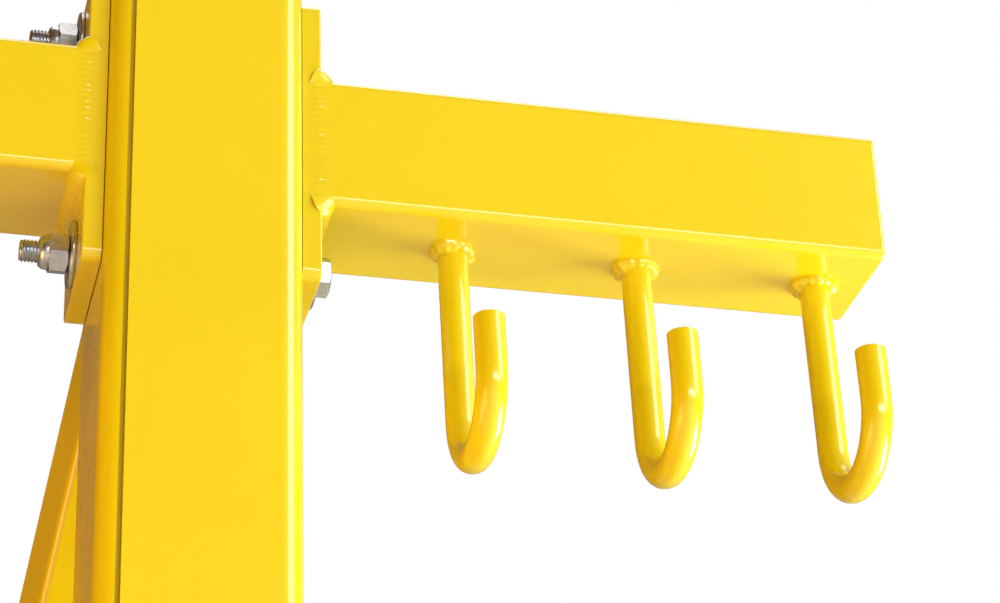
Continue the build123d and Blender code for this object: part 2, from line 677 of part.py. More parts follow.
def extension_nose():
    """End plate of the extension with two ears for the hook's pin."""
    start = BOOM_LENGTH + EXT_OUTSIDE
    cap = Pos(0, 0, start) * extrude(RectangleRounded(EXT_SIZE, EXT_SIZE, 7), 8)
    pin_at = nose_point()
    outline = [(-26, start + 8), (-20, pin_at + 8), (-12, pin_at + 20), (12, pin_at + 20),
               (20, pin_at + 8), (26, start + 8)]
    ear = plate_yz(outline, NOSE_HALF_GAP, NOSE_HALF_GAP + NOSE_THICK)
    ear -= rod_x(NOSE_PIN_R + RUNNING, NOSE_HALF_GAP - 5, NOSE_HALF_GAP + 20, 0, pin_at)
    return boom_place() * (cap + ear + mirrored(ear))


def nose_pin():
    outer = NOSE_HALF_GAP + NOSE_THICK
    pin = rod_x(NOSE_PIN_R, -outer - 14, outer, 0, nose_point())
    pin += hexagon_x(24, outer, outer + 10, 0, nose_point())
    pin += hexagon_x(24, -outer - 11, -outer, 0, nose_point())
    return boom_place() * pin


# --- load hook: drawn hanging from its pin at the local origin ----------------------------------
def hook_place():
    angle = math.radians(BOOM_ANGLE)
    return Pos(0, MAST_Y + nose_point() * math.cos(angle), PIVOT_Z + nose_point() * math.sin(angle))


def hook_yoke():
    """Swivel yoke: an eye on the nose pin and a lower ring that the hook's shank turns in."""
    half = NOSE_HALF_GAP - SIDE_GAP
    eye = rod_x(17, -half, half, 0, 0)
    eye += block((-half, half), (-11, 11), (2 - YOKE_BAR_DROP, 0))
    for side in (-1, 1):
        eye += block((side * 27 - 4, side * 27 + 4), (-11, 11), (-YOKE_DROP, 8 - YOKE_BAR_DROP))
    eye += block((-31, 31), (-11, 11), (-YOKE_BAR_DROP, 10 - YOKE_BAR_DROP))
    eye += block((-31, 31), (-15, 15), (-YOKE_DROP, -YOKE_DROP + 14))
    eye -= rod_x(NOSE_PIN_R + RUNNING, -half - 5, half + 5, 0, 0)
    eye -= rod_z(SHANK_R + RUNNING, -YOKE_DROP - 5, -YOKE_DROP + 20, 0, 0)
    return hook_place() * eye


def hook_path():
    """Centre line of the hook below its shank, in its own (across, up) plane."""
    neck = JernArc(start=(0, -22), tangent=(0, -1), radius=24, arc_size=-52)
    bowl = JernArc(start=neck @ 1, tangent=neck % 1, radius=BOWL_R, arc_size=236)
    return Line((0, 4), (0, -22)), neck, bowl


def load_hook():
    """Forged hook with a shank, a collar nut above the yoke's ring and an open bowl."""
    straight, neck, bowl = hook_path()
    path = Plane.YZ * Wire([straight.edge(), neck.edge(), bowl.edge()])
    start = Plane(origin=path @ 0, z_dir=path % 0)
    body = sweep(start * Circle(SHANK_R), path)
    tip = path @ 1
    body += Pos(tip.X, tip.Y, tip.Z) * Sphere(SHANK_R)
    shoulder = rod_z(14, -6, -SIDE_GAP, 0, 0)
    shank = rod_z(SHANK_R, -4, 34, 0, 0)
    nut = hexagon_z(27, 14 + SIDE_GAP, 28, 0, 0)
    return hook_place() * Pos(0, 0, -YOKE_DROP) * (body + shoulder + shank + nut)


def latch_pivot():
    """Pivot of the safety latch, on the back of the hook's throat."""
    _, neck, _ = hook_path()
    point = neck @ 0.75
    way = neck % 0.75
    offset = SHANK_R + LATCH_ROOT_R + SIDE_GAP
    base = hook_place().position
    return (base.X, base.Y + point.X - way.Y * offset, base.Z - YOKE_DROP + point.Y + way.X * offset)


def hook_latch():
    """Sprung gate that closes the hook's throat, with its cross pin."""
    x, y, z = latch_pivot()
    _, _, bowl = hook_path()
    base = hook_place().position
    tip = bowl @ 1
    end_y = base.Y + tip.X - SHANK_R - 1.5
    end_z = base.Z - YOKE_DROP + tip.Y + 1.0
    run = math.hypot(end_y - y, end_z - z)
    angle = math.degrees(math.atan2(end_z - z, end_y - y))
    strip = block((-7, 7), (-1.5, 1.5), (0, run))
    root = rod_x(LATCH_ROOT_R, -8, 8, 0, 0)
    return Pos(x, 0, 0) * along(y, z, angle) * (strip + root)


# --- hydraulic ram: drawn along local +Z from its foot pin, with local +Y away from the mast -----
def lug_point():
    """Ram's upper pin, as (y, z)."""
    angle = math.radians(BOOM_ANGLE)
    y = MAST_Y + LUG_REACH * math.cos(angle) + LUG_DROP * math.sin(angle)
    z = PIVOT_Z + LUG_REACH * math.sin(angle) - LUG_DROP * math.cos(angle)
    return y, z


def ram_length():
    y, z = lug_point()
    return math.hypot(y - RAM_FOOT_Y, z - RAM_FOOT_Z)


def ram_angle():
    y, z = lug_point()
    return math.degrees(math.atan2(z - RAM_FOOT_Z, y - RAM_FOOT_Y))


def ram_place():
    return along(RAM_FOOT_Y, RAM_FOOT_Z, ram_angle())


def ram_bracket():
    """Two ears on the mast's front face, either side of the ram's foot."""
    inner = BASE_HALF_WIDTH + SIDE_GAP
    outline = [(MAST_SIZE, RAM_FOOT_Z - 36), (RAM_FOOT_Y + 4, RAM_FOOT_Z - 22),
               (RAM_FOOT_Y + 20, RAM_FOOT_Z - 10), (RAM_FOOT_Y + 20, RAM_FOOT_Z + 10),
               (RAM_FOOT_Y + 4, RAM_FOOT_Z + 22), (MAST_SIZE, RAM_FOOT_Z + 60)]
    ear = plate_yz(outline, inner, inner + 8)
    ear -= rod_x(PIVOT_R + RUNNING, inner - 5, inner + 15, RAM_FOOT_Y, RAM_FOOT_Z)
    return [ear, mirrored(ear)]


def ram_foot_pin():
    outer = BASE_HALF_WIDTH + SIDE_GAP + 8
    pin = rod_x(PIVOT_R, -outer - 6, outer, RAM_FOOT_Y, RAM_FOOT_Z)
    pin += rod_x(14, outer, outer + 5, RAM_FOOT_Y, RAM_FOOT_Z)
    return pin + rod_x(13, -outer - 4, -outer - 1, RAM_FOOT_Y, RAM_FOOT_Z)


def ram_base():
    """Cast base: the foot, the reservoir seat, and the pump block in front of the barrel."""
    half = BASE_HALF_WIDTH
    body = rod_x(24, -half, half, 0, 0)
    body += block((-half, half), (-24, 24), (0, 40))
    body += block((-half, half), (-24, PUMP_OFFSET + 20), (30, BASE_TOP))
    body += Pos(0, 0, 40) * extrude(Circle(BARREL_R), BASE_TOP - 40)
    body -= rod_x(PIVOT_R + RUNNING, -half - 5, half + 5, 0, 0)
    body -= rod_x(5 + RUNNING, half - 18, half + 5, VALVE_OFFSET, VALVE_UP)
    return ram_place() * body


def ram_barrel():
    body = Cylinder(BARREL_R, BARREL_TOP - BASE_TOP) - Cylinder(BARREL_BORE_R, BARREL_TOP)
    return ram_place() * Pos(0, 0, (BARREL_TOP + BASE_TOP) / 2) * body


def ram_gland():
    """Screwed end of the barrel, which guides and seals the piston rod."""
    middle = (BARREL_TOP + GLAND_TOP) / 2
    cap = Pos(0, 0, middle) * Cylinder(BARREL_R - 1, GLAND_TOP - BARREL_TOP)
    spigot = Pos(0, 0, BARREL_TOP - 12) * Cylinder(BARREL_BORE_R - 0.02, 24)
    bore = Pos(0, 0, middle) * Cylinder(ROD_R + RUNNING, 100)
    return ram_place() * (cap + spigot - bore)


def pivot_offset():
    """Distance in front of the barrel's axis of the pivot that the handle's socket turns on."""
    dip = math.radians(CRANK_DIP)
    return PUMP_OFFSET + CRANK_R * (1 + math.cos(dip)) / 2


def crank_pin():
    """Cross pin that moves the plunger, as local (y, z), below the level of the pivot at rest."""
    dip = math.radians(CRANK_DIP)
    return pivot_offset() - CRANK_R * math.cos(dip), PUMP_PIVOT_UP - CRANK_R * math.sin(dip)


def pump_barrel():
    """Pump cylinder in front of the ram, with the ear that the handle's socket pivots on."""
    body = rod_z(PUMP_R, BASE_TOP, PUMP_TOP, 0, PUMP_OFFSET)
    body -= rod_z(PLUNGER_R + RUNNING, BASE_TOP + 15, PUMP_TOP + 5, 0, PUMP_OFFSET)
    pivot_y = pivot_offset()
    wall_y = PUMP_OFFSET + PUMP_R - 3
    outline = [(wall_y, BASE_TOP + 20), (pivot_y + 9, PUMP_PIVOT_UP - 26),
               (pivot_y + 9, PUMP_PIVOT_UP + 9), (pivot_y - 9, PUMP_PIVOT_UP + 9),
               (pivot_y - 9, PUMP_TOP - 4), (wall_y, PUMP_TOP - 4)]
    ear = plate_yz(outline, -5, 5)
    ear -= rod_x(5 + RUNNING, -10, 10, pivot_y, PUMP_PIVOT_UP)
    return ram_place() * (body + ear)


def pump_plunger():
    """Plunger with an eye that takes the socket's cross pin with play."""
    _, level = crank_pin()
    body = rod_z(PLUNGER_R, BASE_TOP + 32, level - 6, 0, PUMP_OFFSET)
    body += rod_x(10, -6, 6, PUMP_OFFSET, level)
    return ram_place() * (body - rod_x(5.4, -10, 10, PUMP_OFFSET, level))


def pump_pivot():
    """Pivot of the handle's socket, as (y, z)."""
    point = (ram_place() * Pos(0, pivot_offset(), PUMP_PIVOT_UP)).position
    return point.Y, point.Z


def handle_place():
    """Frame of the handle, leaning forward from the pump's pivot."""
    return Pos(0, pivot_offset(), PUMP_PIVOT_UP) * Rot(-HANDLE_LEAN, 0, 0)


def pump_socket():
    """Forked lever on the pump with the tube that the handle plugs into."""
    pivot_y = pivot_offset()
    pin_y, pin_z = crank_pin()
    outline = [(pivot_y + 11, PUMP_PIVOT_UP - 10), (pin_y + 2, pin_z - 9), (pin_y - 8, pin_z - 5),
               (pin_y - 8, pin_z + 7), (pivot_y - 10, PUMP_PIVOT_UP + 30),
               (pivot_y + 11, PUMP_PIVOT_UP + 30)]
    inner = PLUNGER_R + 0.6
    outer = inner + 5
    cheek = plate_yz(outline, inner, outer)
    lever = cheek + mirrored(cheek)
    lever += rod_x(5, -outer, outer, pivot_y, PUMP_PIVOT_UP)
    lever += rod_x(4, -outer, outer, pin_y, pin_z)
    lever += block((-outer, outer), (pivot_y - 10, pivot_y + 11), (PUMP_PIVOT_UP + 22, PUMP_PIVOT_UP + 32))
    shell = Cylinder(HANDLE_R + 4, 90) - Pos(0, 0, 8) * Cylinder(HANDLE_R, 90)
    return ram_place() * (lever + handle_place() * Pos(0, 0, 75) * shell)


def pump_handle():
    """Handle bar in the socket, with a grip sleeve that is thicker than the bar."""
    bar = rod_z(HANDLE_R, 38, HANDLE_LENGTH, 0, 0)
    bar -= rod_z(HANDLE_R - 2.5, 30, HANDLE_LENGTH - 6, 0, 0)
    grip = rod_z(HANDLE_R + 4, HANDLE_LENGTH - 115, HANDLE_LENGTH + 4, 0, 0)
    grip = fillet(grip.edges(), 3.0)
    return ram_place() * handle_place() * (bar + grip)


def release_valve():
    """Screw with a T-bar on the side of the base, which lets the ram down."""
    half = BASE_HALF_WIDTH
    screw = rod_x(5, half - 14, half + 24, VALVE_OFFSET, VALVE_UP)
    knob = rod_x(9, half + SIDE_GAP, half + 16, VALVE_OFFSET, VALVE_UP)
    bar = Pos(half + 20, VALVE_OFFSET, VALVE_UP) * Cylinder(4, 46)
    return ram_place() * (screw + knob + bar)


def piston_rod():
    """Chromed rod with its piston and the eye that takes the boom's pin with play."""
    length = ram_length()
    body = rod_z(ROD_R, length - ROD_LENGTH, length - EYE_R + 6, 0, 0)
    piston = rod_z(BARREL_BORE_R - 0.08, length - ROD_LENGTH - 18, length - ROD_LENGTH + 6, 0, 0)
    eye = rod_x(EYE_R, -EYE_HALF_WIDTH, EYE_HALF_WIDTH, 0, length)
    body = body + piston + eye
    return ram_place() * (body - rod_x(EYE_HOLE_R, -30, 30, 0, length))


# --- all nodes --------------------------------------------------------------------------------
def build():
    """Node name to a list of solids, in the layout's own coordinates."""
    raised = Pos(0, 0, LEFT_ARM_RISE)
    level = Pos(0, 0, 0)
    nodes = {
        "rear_crossbeam": [rear_crossbeam()],
        "front_crossbeam": [front_crossbeam()],
        "side_rails": side_rails(),
        "mast_tube": [mast_tube()],
        "mast_foot_plate": [mast_foot_plate()],
        "base_bolts": mast_foot_bolts() + brace_bolts(),
        "mast_gussets": mast_gussets(),
        "mast_head": [mast_head()],
        "boom_pivot_bolt": [boom_pivot_bolt(), boom_pivot_nut()],
        "brace_right": [brace()],
        "brace_left": [mirrored(brace())],
        "brace_feet": brace_feet(),
        "arm_end_caps": [arm_end_cap(), raised * mirrored(arm_end_cap())],
        "arm_flanges": [arm_flange() - countersink(COUNTERSINK_R), mirrored(arm_flange())],
        "arm_bolts": arm_bolts(),
        "arm_washers": arm_washers(),
        "arm_nuts": arm_nuts(),
        "caster_plates": caster_plates(),
        "leg_hinge_bolts": leg_hinge_bolts(),
        "ram_bracket": ram_bracket(),
        "ram_foot_pin": [ram_foot_pin()],
        "boom_tube": [boom_tube()],
        "boom_mouth_collar": [boom_mouth_collar()],
        "boom_pivot_sleeve": [boom_pivot_sleeve()],
        "boom_lugs": boom_lugs(),
        "ram_top_pin": [ram_top_pin()],
        "boom_clamp_screw": [boom_clamp_screw()],
        "extension_tube": [extension_tube()],
        "extension_nose": [extension_nose()],
        "nose_pin": [nose_pin()],
        "hook_yoke": [hook_yoke()],
        "load_hook": [load_hook()],
        "hook_latch": [hook_latch()],
        "ram_base": [ram_base()],
        "ram_barrel": [ram_barrel()],
        "ram_gland": [ram_gland()],
        "pump_barrel": [pump_barrel()],
        "pump_plunger": [pump_plunger()],
        "pump_socket": [pump_socket()],
        "pump_handle": [pump_handle()],
        "release_valve": [release_valve()],
        "piston_rod": [piston_rod()],
    }
    sided = {
        "arm_tube": ([arm_tube()], raised),
        "arm_hooks": (arm_hooks(), raised),
        "leg_bracket": (leg_bracket(), level),
        "leg_tube": ([leg_tube()], level),
        "leg_fork": (leg_fork(), level),
        "leg_wheel": ([leg_wheel()], level),
        "leg_lock_pin": ([leg_lock_pin()], level),
    }
    for name, (solids, left_shift) in sided.items():
        nodes[name + "_right"] = solids
        nodes[name + "_left"] = [left_shift * mirrored(solid) for solid in solids]
    for side, name in ((-1, "left"), (1, "right")):
        fork, rolling = caster_pieces(side)
        nodes["caster_fork_" + name] = fork
        nodes["caster_wheel_" + name] = [rolling]
    return nodes


def main():
    os.makedirs("parts", exist_ok=True)
    for name, solids in build().items():
        placed = [Pos(0, -CENTRE_Y, 0) * solid for solid in solids]
        shape = placed[0] if len(placed) == 1 else Compound(children=placed)
        shape.label = name
        export_step(shape, "parts/" + name + ".step")


if __name__ == "__main__":
    main()
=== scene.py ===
"""Looks of the engine hoist crane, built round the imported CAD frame.  Metres, +Z up, +Y forward."""

import json
import math

import bmesh
import bpy
from mathutils import Matrix, Quaternion, Vector, noise


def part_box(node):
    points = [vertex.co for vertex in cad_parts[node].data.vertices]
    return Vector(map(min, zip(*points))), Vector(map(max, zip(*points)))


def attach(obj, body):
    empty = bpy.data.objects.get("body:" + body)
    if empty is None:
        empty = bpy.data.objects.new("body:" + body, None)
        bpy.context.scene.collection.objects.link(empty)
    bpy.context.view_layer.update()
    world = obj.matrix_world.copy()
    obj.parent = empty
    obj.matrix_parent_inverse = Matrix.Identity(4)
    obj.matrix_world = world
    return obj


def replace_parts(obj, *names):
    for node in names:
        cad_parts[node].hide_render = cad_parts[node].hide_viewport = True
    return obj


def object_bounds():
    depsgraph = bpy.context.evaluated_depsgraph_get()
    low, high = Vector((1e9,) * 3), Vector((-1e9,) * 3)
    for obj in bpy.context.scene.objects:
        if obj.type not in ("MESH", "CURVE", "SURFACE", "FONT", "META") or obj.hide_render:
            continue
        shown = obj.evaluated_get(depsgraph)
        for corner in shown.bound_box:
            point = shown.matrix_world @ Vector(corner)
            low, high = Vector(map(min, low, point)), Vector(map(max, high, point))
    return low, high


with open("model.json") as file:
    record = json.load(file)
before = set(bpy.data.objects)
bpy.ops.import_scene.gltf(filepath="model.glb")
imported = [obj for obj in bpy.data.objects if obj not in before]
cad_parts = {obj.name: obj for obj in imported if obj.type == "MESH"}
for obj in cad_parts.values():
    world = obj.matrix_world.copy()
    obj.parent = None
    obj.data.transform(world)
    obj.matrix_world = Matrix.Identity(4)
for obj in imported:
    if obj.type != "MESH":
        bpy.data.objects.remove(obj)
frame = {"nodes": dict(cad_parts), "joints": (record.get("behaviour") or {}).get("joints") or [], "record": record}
cad_low, cad_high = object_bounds()
nodes = frame["nodes"]
joints = {joint["name"]: joint for joint in frame["joints"]}

MM = 0.001
X, Y, Z = Vector((1, 0, 0)), Vector((0, 1, 0)), Vector((0, 0, 1))


# --- places read from the frame ---
class Box:
    """A CAD node's box at rest, with its middle and size."""

    def __init__(self, node):
        self.low, self.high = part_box(node)
        self.mid = (self.low + self.high) / 2
        self.size = self.high - self.low


mast = Box("mast_tube")
arm = {side: Box("arm_tube_" + side) for side in ("right", "left")}
SIGN = {"right": 1, "left": -1}

# J-hooks: radius of the rod and of its weld collar, straight length past the bowl, outward lean
HOOK_ROD = 8 * MM
HOOK_COLLAR = 12.5 * MM
HOOK_RETURN = 26 * MM
HOOK_LEAN = math.radians(1.1)

# M12 fasteners on the arm flanges
M12_RADIUS = 6 * MM
M12_PITCH = 1.75 * MM
M12_FLATS = 19 * MM
M12_NUT = 10.5 * MM
WASHER_RADIUS = 17.5 * MM

# Camera: yaw, pitch and roll in degrees, its place from the mast's rear face at the arms' level,
# and its lens in millimetres
CAMERA_TURN = (15.04, 28.97, -2.24)
CAMERA_PLACE = Vector((-0.19875, -1.29333, -0.83403))
CAMERA_SENSOR = 36.0
CAMERA_LENS = 109.66


def joint_place(name):
    return Vector(joints[name]["pos_m"])


def joint_axis(name):
    return Vector(joints[name]["axis"]).normalized()


# --- node material helpers ---
class Shader:
    """A material's node tree with short calls for the nodes that the finishes share."""

    def __init__(self, name):
        self.material = bpy.data.materials.new(name)
        self.material.use_nodes = True
        self.tree = self.material.node_tree
        self.bsdf = self.tree.nodes["Principled BSDF"]
        self.place = self.add("ShaderNodeTexCoord").outputs["Object"]

    def add(self, kind, **values):
        node = self.tree.nodes.new(kind)
        for key, value in values.items():
            setattr(node, key, value)
        return node

    def link(self, output, socket):
        self.tree.links.new(output, socket)

    def set(self, **values):
        for key, value in values.items():
            self.bsdf.inputs[key.replace("_", " ")].default_value = value

    def noise(self, scale, detail=2.0, roughness=0.5, stretch=(1, 1, 1)):
        """Noise texture over the object's own coordinates, in cycles per metre."""
        mapping = self.add("ShaderNodeMapping")
        mapping.inputs["Scale"].default_value = stretch
        self.link(self.place, mapping.inputs["Vector"])
        node = self.add("ShaderNodeTexNoise")
        node.inputs["Scale"].default_value = scale
        node.inputs["Detail"].default_value = detail
        node.inputs["Roughness"].default_value = roughness
        self.link(mapping.outputs["Vector"], node.inputs["Vector"])
        return node.outputs["Fac"]

    def ramp(self, factor, *stops):
        """Colour ramp through (position, colour) stops."""
        node = self.add("ShaderNodeValToRGB")
        elements = node.color_ramp.elements
        while len(elements) < len(stops):
            elements.new(0.5)
        for element, (position, colour) in zip(elements, stops):
            element.position = position
            element.color = (*colour, 1)
        self.link(factor, node.inputs["Fac"])
        return node.outputs["Color"]

    def spread(self, factor, low, high):
        """Rescales a 0 to 1 factor to a range."""
        node = self.add("ShaderNodeMapRange")
        node.inputs["To Min"].default_value = low
        node.inputs["To Max"].default_value = high
        self.link(factor, node.inputs["Value"])
        return node.outputs["Result"]

    def bump(self, height, strength, distance):
        node = self.add("ShaderNodeBump")
        node.inputs["Strength"].default_value = strength
        node.inputs["Distance"].default_value = distance
        self.link(height, node.inputs["Height"])
        return node.outputs["Normal"]

    def finish(self, colour, roughness, normal):
        self.link(colour, self.bsdf.inputs["Base Color"])
        self.link(roughness, self.bsdf.inputs["Roughness"])
        self.link(normal, self.bsdf.inputs["Normal"])
        return self.material


def yellow_paint():
    """Glossy yellow powder coat with a faint orange peel."""
    s = Shader("yellow_powder_coat")
    tone = s.noise(7.0, 3.0, 0.55)
    colour = s.ramp(tone, (0.3, (0.71, 0.54, 0.002)), (0.7, (0.74, 0.565, 0.004)))
    roughness = s.spread(s.noise(60.0, 3.0), 0.16, 0.24)
    peel = s.bump(s.noise(420.0, 1.0), 0.05, 0.0006)
    s.set(Coat_Weight=0.3, Coat_Roughness=0.05)
    return s.finish(colour, roughness, peel)


def zinc_plate():
    """Bright zinc with faint blue passivation and fine rolling marks."""
    s = Shader("bright_zinc")
    tone = s.noise(160.0, 4.0, 0.6)
    colour = s.ramp(tone, (0.3, (0.42, 0.46, 0.53)), (0.7, (0.66, 0.68, 0.71)))
    roughness = s.spread(s.noise(300.0, 3.0), 0.18, 0.42)
    marks = s.bump(s.noise(900.0, 2.0, 0.5, (0.2, 1, 1)), 0.12, 0.0004)
    s.set(Metallic=1.0)
    return s.finish(colour, roughness, marks)


def chrome_plate():
    """Ground and chromed rod with fine marks round it."""
    s = Shader("hard_chrome")
    colour = s.ramp(s.noise(30.0, 2.0), (0.3, (0.78, 0.79, 0.80)), (0.7, (0.86, 0.87, 0.88)))
    roughness = s.spread(s.noise(500.0, 2.0), 0.05, 0.14)
    marks = s.bump(s.noise(1500.0, 1.0, 0.5, (0.1, 1, 1)), 0.04, 0.0002)
    s.set(Metallic=1.0)
    return s.finish(colour, roughness, marks)


def black_enamel():
    """Satin black enamel over a sand casting and a drawn tube."""
    s = Shader("black_enamel")
    tone = s.noise(25.0, 3.0)
    colour = s.ramp(tone, (0.3, (0.012, 0.012, 0.014)), (0.7, (0.022, 0.023, 0.026)))
    roughness = s.spread(s.noise(120.0, 3.0), 0.28, 0.46)
    grain = s.bump(s.noise(600.0, 3.0), 0.18, 0.0008)
    s.set(Coat_Weight=0.2, Coat_Roughness=0.2)
    return s.finish(colour, roughness, grain)


def forged_paint():
    """Red paint over the scaled skin of a drop forging, thin at the high spots."""
    s = Shader("forged_red_paint")
    tone = s.noise(45.0, 5.0, 0.6)
    colour = s.ramp(tone, (0.25, (0.30, 0.018, 0.010)), (0.75, (0.46, 0.035, 0.018)))
    roughness = s.spread(s.noise(150.0, 3.0), 0.30, 0.50)
    skin = s.bump(s.noise(260.0, 4.0), 0.25, 0.0012)
    s.set(Coat_Weight=0.15, Coat_Roughness=0.25)
    return s.finish(colour, roughness, skin)


def wheel_nylon():
    """Moulded black nylon with a faintly grained tread."""
    s = Shader("moulded_nylon")
    tone = s.noise(40.0, 3.0)
    colour = s.ramp(tone, (0.3, (0.020, 0.020, 0.022)), (0.7, (0.034, 0.034, 0.036)))
    roughness = s.spread(s.noise(200.0, 3.0), 0.42, 0.60)
    grain = s.bump(s.noise(1100.0, 2.0), 0.15, 0.0004)
    return s.finish(colour, roughness, grain)


def grip_rubber():
    """Dull black rubber."""
    s = Shader("grip_rubber")
    tone = s.noise(50.0, 2.0)
    colour = s.ramp(tone, (0.3, (0.012, 0.012, 0.012)), (0.7, (0.022, 0.022, 0.023)))
    roughness = s.spread(s.noise(240.0, 3.0), 0.55, 0.75)
    grain = s.bump(s.noise(1400.0, 2.0), 0.2, 0.0003)
    return s.finish(colour, roughness, grain)


PAINTS = {
    "yellow_paint": yellow_paint(),
    "zinc_steel": zinc_plate(),
    "chrome_steel": chrome_plate(),
    "ram_paint": black_enamel(),
    "forged_steel": forged_paint(),
    "wheel_nylon": wheel_nylon(),
    "grip_rubber": grip_rubber(),
}


def paint(piece, slot):
    piece.data.materials.clear()
    piece.data.materials.append(PAINTS[slot])


def paint_cad_nodes():
    """Gives every CAD node the finish that its slot names, and rounds its sharp edges a little."""
    for subpart in frame["record"]["subparts"]:
        piece = nodes[subpart["node"]]
        paint(piece, subpart["material_slot"])
        bevel = piece.modifiers.new("edge_rounding", "BEVEL")
        bevel.width = 0.8 * MM
        bevel.segments = 2
        bevel.limit_method = "ANGLE"
        bevel.angle_limit = math.radians(40)
        bevel.harden_normals = True


# --- floor, light and camera ---
def make_floor():
    bpy.ops.mesh.primitive_plane_add(size=30, location=(0, 0, cad_low.z))
    floor = bpy.context.object
    floor.name = "floor"
    s = Shader("pale_floor")
    colour = s.ramp(s.noise(2.0), (0.3, (0.78, 0.78, 0.78)), (0.7, (0.82, 0.82, 0.82)))
    roughness = s.spread(s.noise(4.0), 0.55, 0.65)
    floor.data.materials.append(s.finish(colour, roughness, s.bump(s.noise(90.0), 0.02, 0.001)))


def make_world():
    """White to the camera; as light, dim and warm on the left, brighter and white on the right."""
    world = bpy.data.worlds.new("studio")
    bpy.context.scene.world = world
    world.use_nodes = True
    tree = world.node_tree
    white = tree.nodes["Background"]
    white.inputs["Color"].default_value = (1, 1, 1, 1)
    soft = tree.nodes.new("ShaderNodeBackground")
    place = tree.nodes.new("ShaderNodeTexCoord")
    split = tree.nodes.new("ShaderNodeSeparateXYZ")
    side = tree.nodes.new("ShaderNodeMapRange")
    side.inputs["From Min"].default_value = -1.0
    side.inputs["To Min"].default_value = 0.12
    side.inputs["To Max"].default_value = 0.42
    mix = tree.nodes.new("ShaderNodeMixShader")
    path = tree.nodes.new("ShaderNodeLightPath")
    tree.links.new(place.outputs["Generated"], split.inputs["Vector"])
    tree.links.new(split.outputs["X"], side.inputs["Value"])
    tint = tree.nodes.new("ShaderNodeMix")
    tint.data_type = "RGBA"
    tint.inputs["A"].default_value = (1.0, 0.50, 0.14, 1)
    tint.inputs["B"].default_value = (1.0, 1.0, 1.0, 1)
    warmth = tree.nodes.new("ShaderNodeMapRange")
    warmth.inputs["From Min"].default_value = -0.15
    warmth.inputs["From Max"].default_value = 0.15
    tree.links.new(split.outputs["X"], warmth.inputs["Value"])
    tree.links.new(warmth.outputs["Result"], tint.inputs["Factor"])
    tree.links.new(tint.outputs["Result"], soft.inputs["Color"])
    tree.links.new(side.outputs["Result"], soft.inputs["Strength"])
    tree.links.new(path.outputs["Is Camera Ray"], mix.inputs["Fac"])
    tree.links.new(soft.outputs["Background"], mix.inputs[1])
    tree.links.new(white.outputs["Background"], mix.inputs[2])
    tree.links.new(mix.outputs["Shader"], tree.nodes["World Output"].inputs["Surface"])


def soft_box(name, target, direction, distance, size, power):
    """Area light that faces the target from a direction."""
    light = bpy.data.lights.new(name, "AREA")
    light.shape = "RECTANGLE"
    light.size, light.size_y = size
    light.energy = power
    lamp = bpy.data.objects.new(name, light)
    bpy.context.scene.collection.objects.link(lamp)
    lamp.location = target + direction.normalized() * distance
    lamp.rotation_mode = "QUATERNION"
    lamp.rotation_quaternion = direction.to_track_quat("Z", "Y")
    return lamp


def make_lights():
    centre = Vector((mast.mid.x, mast.low.y, arm["right"].mid.z))
    soft_box("strip_light", centre, Vector((0.36, -1.0, -0.06)), 3.2, (2.6, 0.30), 46)
    soft_box("key_light", centre, Vector((1.0, -0.75, 0.45)), 3.0, (1.4, 1.8), 50)
    soft_box("under_light", centre, Vector((1.0, 0.05, -0.50)), 1.7, (0.9, 0.5), 27)
    above = centre + Vector((0, 0.4, 0.8))
    soft_box("top_light", above, Vector((0.1, 0.1, 1.0)), 2.6, (2.4, 2.4), 55)
    warm = soft_box("left_bounce", centre, Vector((-0.9, -0.35, -0.55)), 1.35, (1.0, 0.6), 12)
    warm.data.color = (1.0, 0.52, 0.12)


def make_camera():
    """Long lens below and behind the cross arms, looking up past the mast's rear face."""
    yaw, pitch, roll = (math.radians(angle) for angle in CAMERA_TURN)
    ahead = Vector((math.sin(yaw), math.cos(yaw), 0))
    forward = ahead * math.cos(pitch) + Z * math.sin(pitch)
    level = Vector((math.cos(yaw), -math.sin(yaw), 0))
    raised = level.cross(forward)
    right = level * math.cos(roll) + raised * math.sin(roll)
    up = raised * math.cos(roll) - level * math.sin(roll)
    camera = bpy.data.objects.new("camera", bpy.data.cameras.new("camera"))
    bpy.context.scene.collection.objects.link(camera)
    turn = Matrix((right, up, -forward)).transposed().to_4x4()
    anchor = Vector((mast.mid.x, mast.low.y, arm["right"].mid.z))
    camera.matrix_world = Matrix.Translation(anchor + CAMERA_PLACE) @ turn
    camera.data.sensor_width = CAMERA_SENSOR
    camera.data.lens = CAMERA_LENS
    camera.data.clip_end = 100.0
    bpy.context.scene.camera = camera


def make_view():
    settings = bpy.context.scene.view_settings
    settings.view_transform = "Standard"
    settings.look = "None"


# --- mesh helpers ---
def new_piece(name, bm, slot, body, sharp):
    """Turns a bmesh into a piece that rides on a body, smooth up to an angle in degrees."""
    bmesh.ops.recalc_face_normals(bm, faces=bm.faces)
    mesh = bpy.data.meshes.new(name)
    bm.to_mesh(mesh)
    bm.free()
    mesh.polygons.foreach_set("use_smooth", [True] * len(mesh.polygons))
    mesh.set_sharp_from_angle(angle=math.radians(sharp))
    piece = bpy.data.objects.new(name, mesh)
    bpy.context.scene.collection.objects.link(piece)
    paint(piece, slot)
    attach(piece, body)
    return piece


def add_rings(bm, rings, closed=False, capped=True):
    """Skins a row of equally long rings of points, and closes the ends."""
    rows = [[bm.verts.new(point) for point in ring] for ring in rings]
    pairs = list(zip(rows, rows[1:]))
    if closed:
        pairs.append((rows[-1], rows[0]))
    for one, two in pairs:
        for k in range(len(one)):
            after = (k + 1) % len(one)
            bm.faces.new((one[k], one[after], two[after], two[k]))
    if capped and not closed:
        bm.faces.new(rows[0])
        bm.faces.new(list(reversed(rows[-1])))


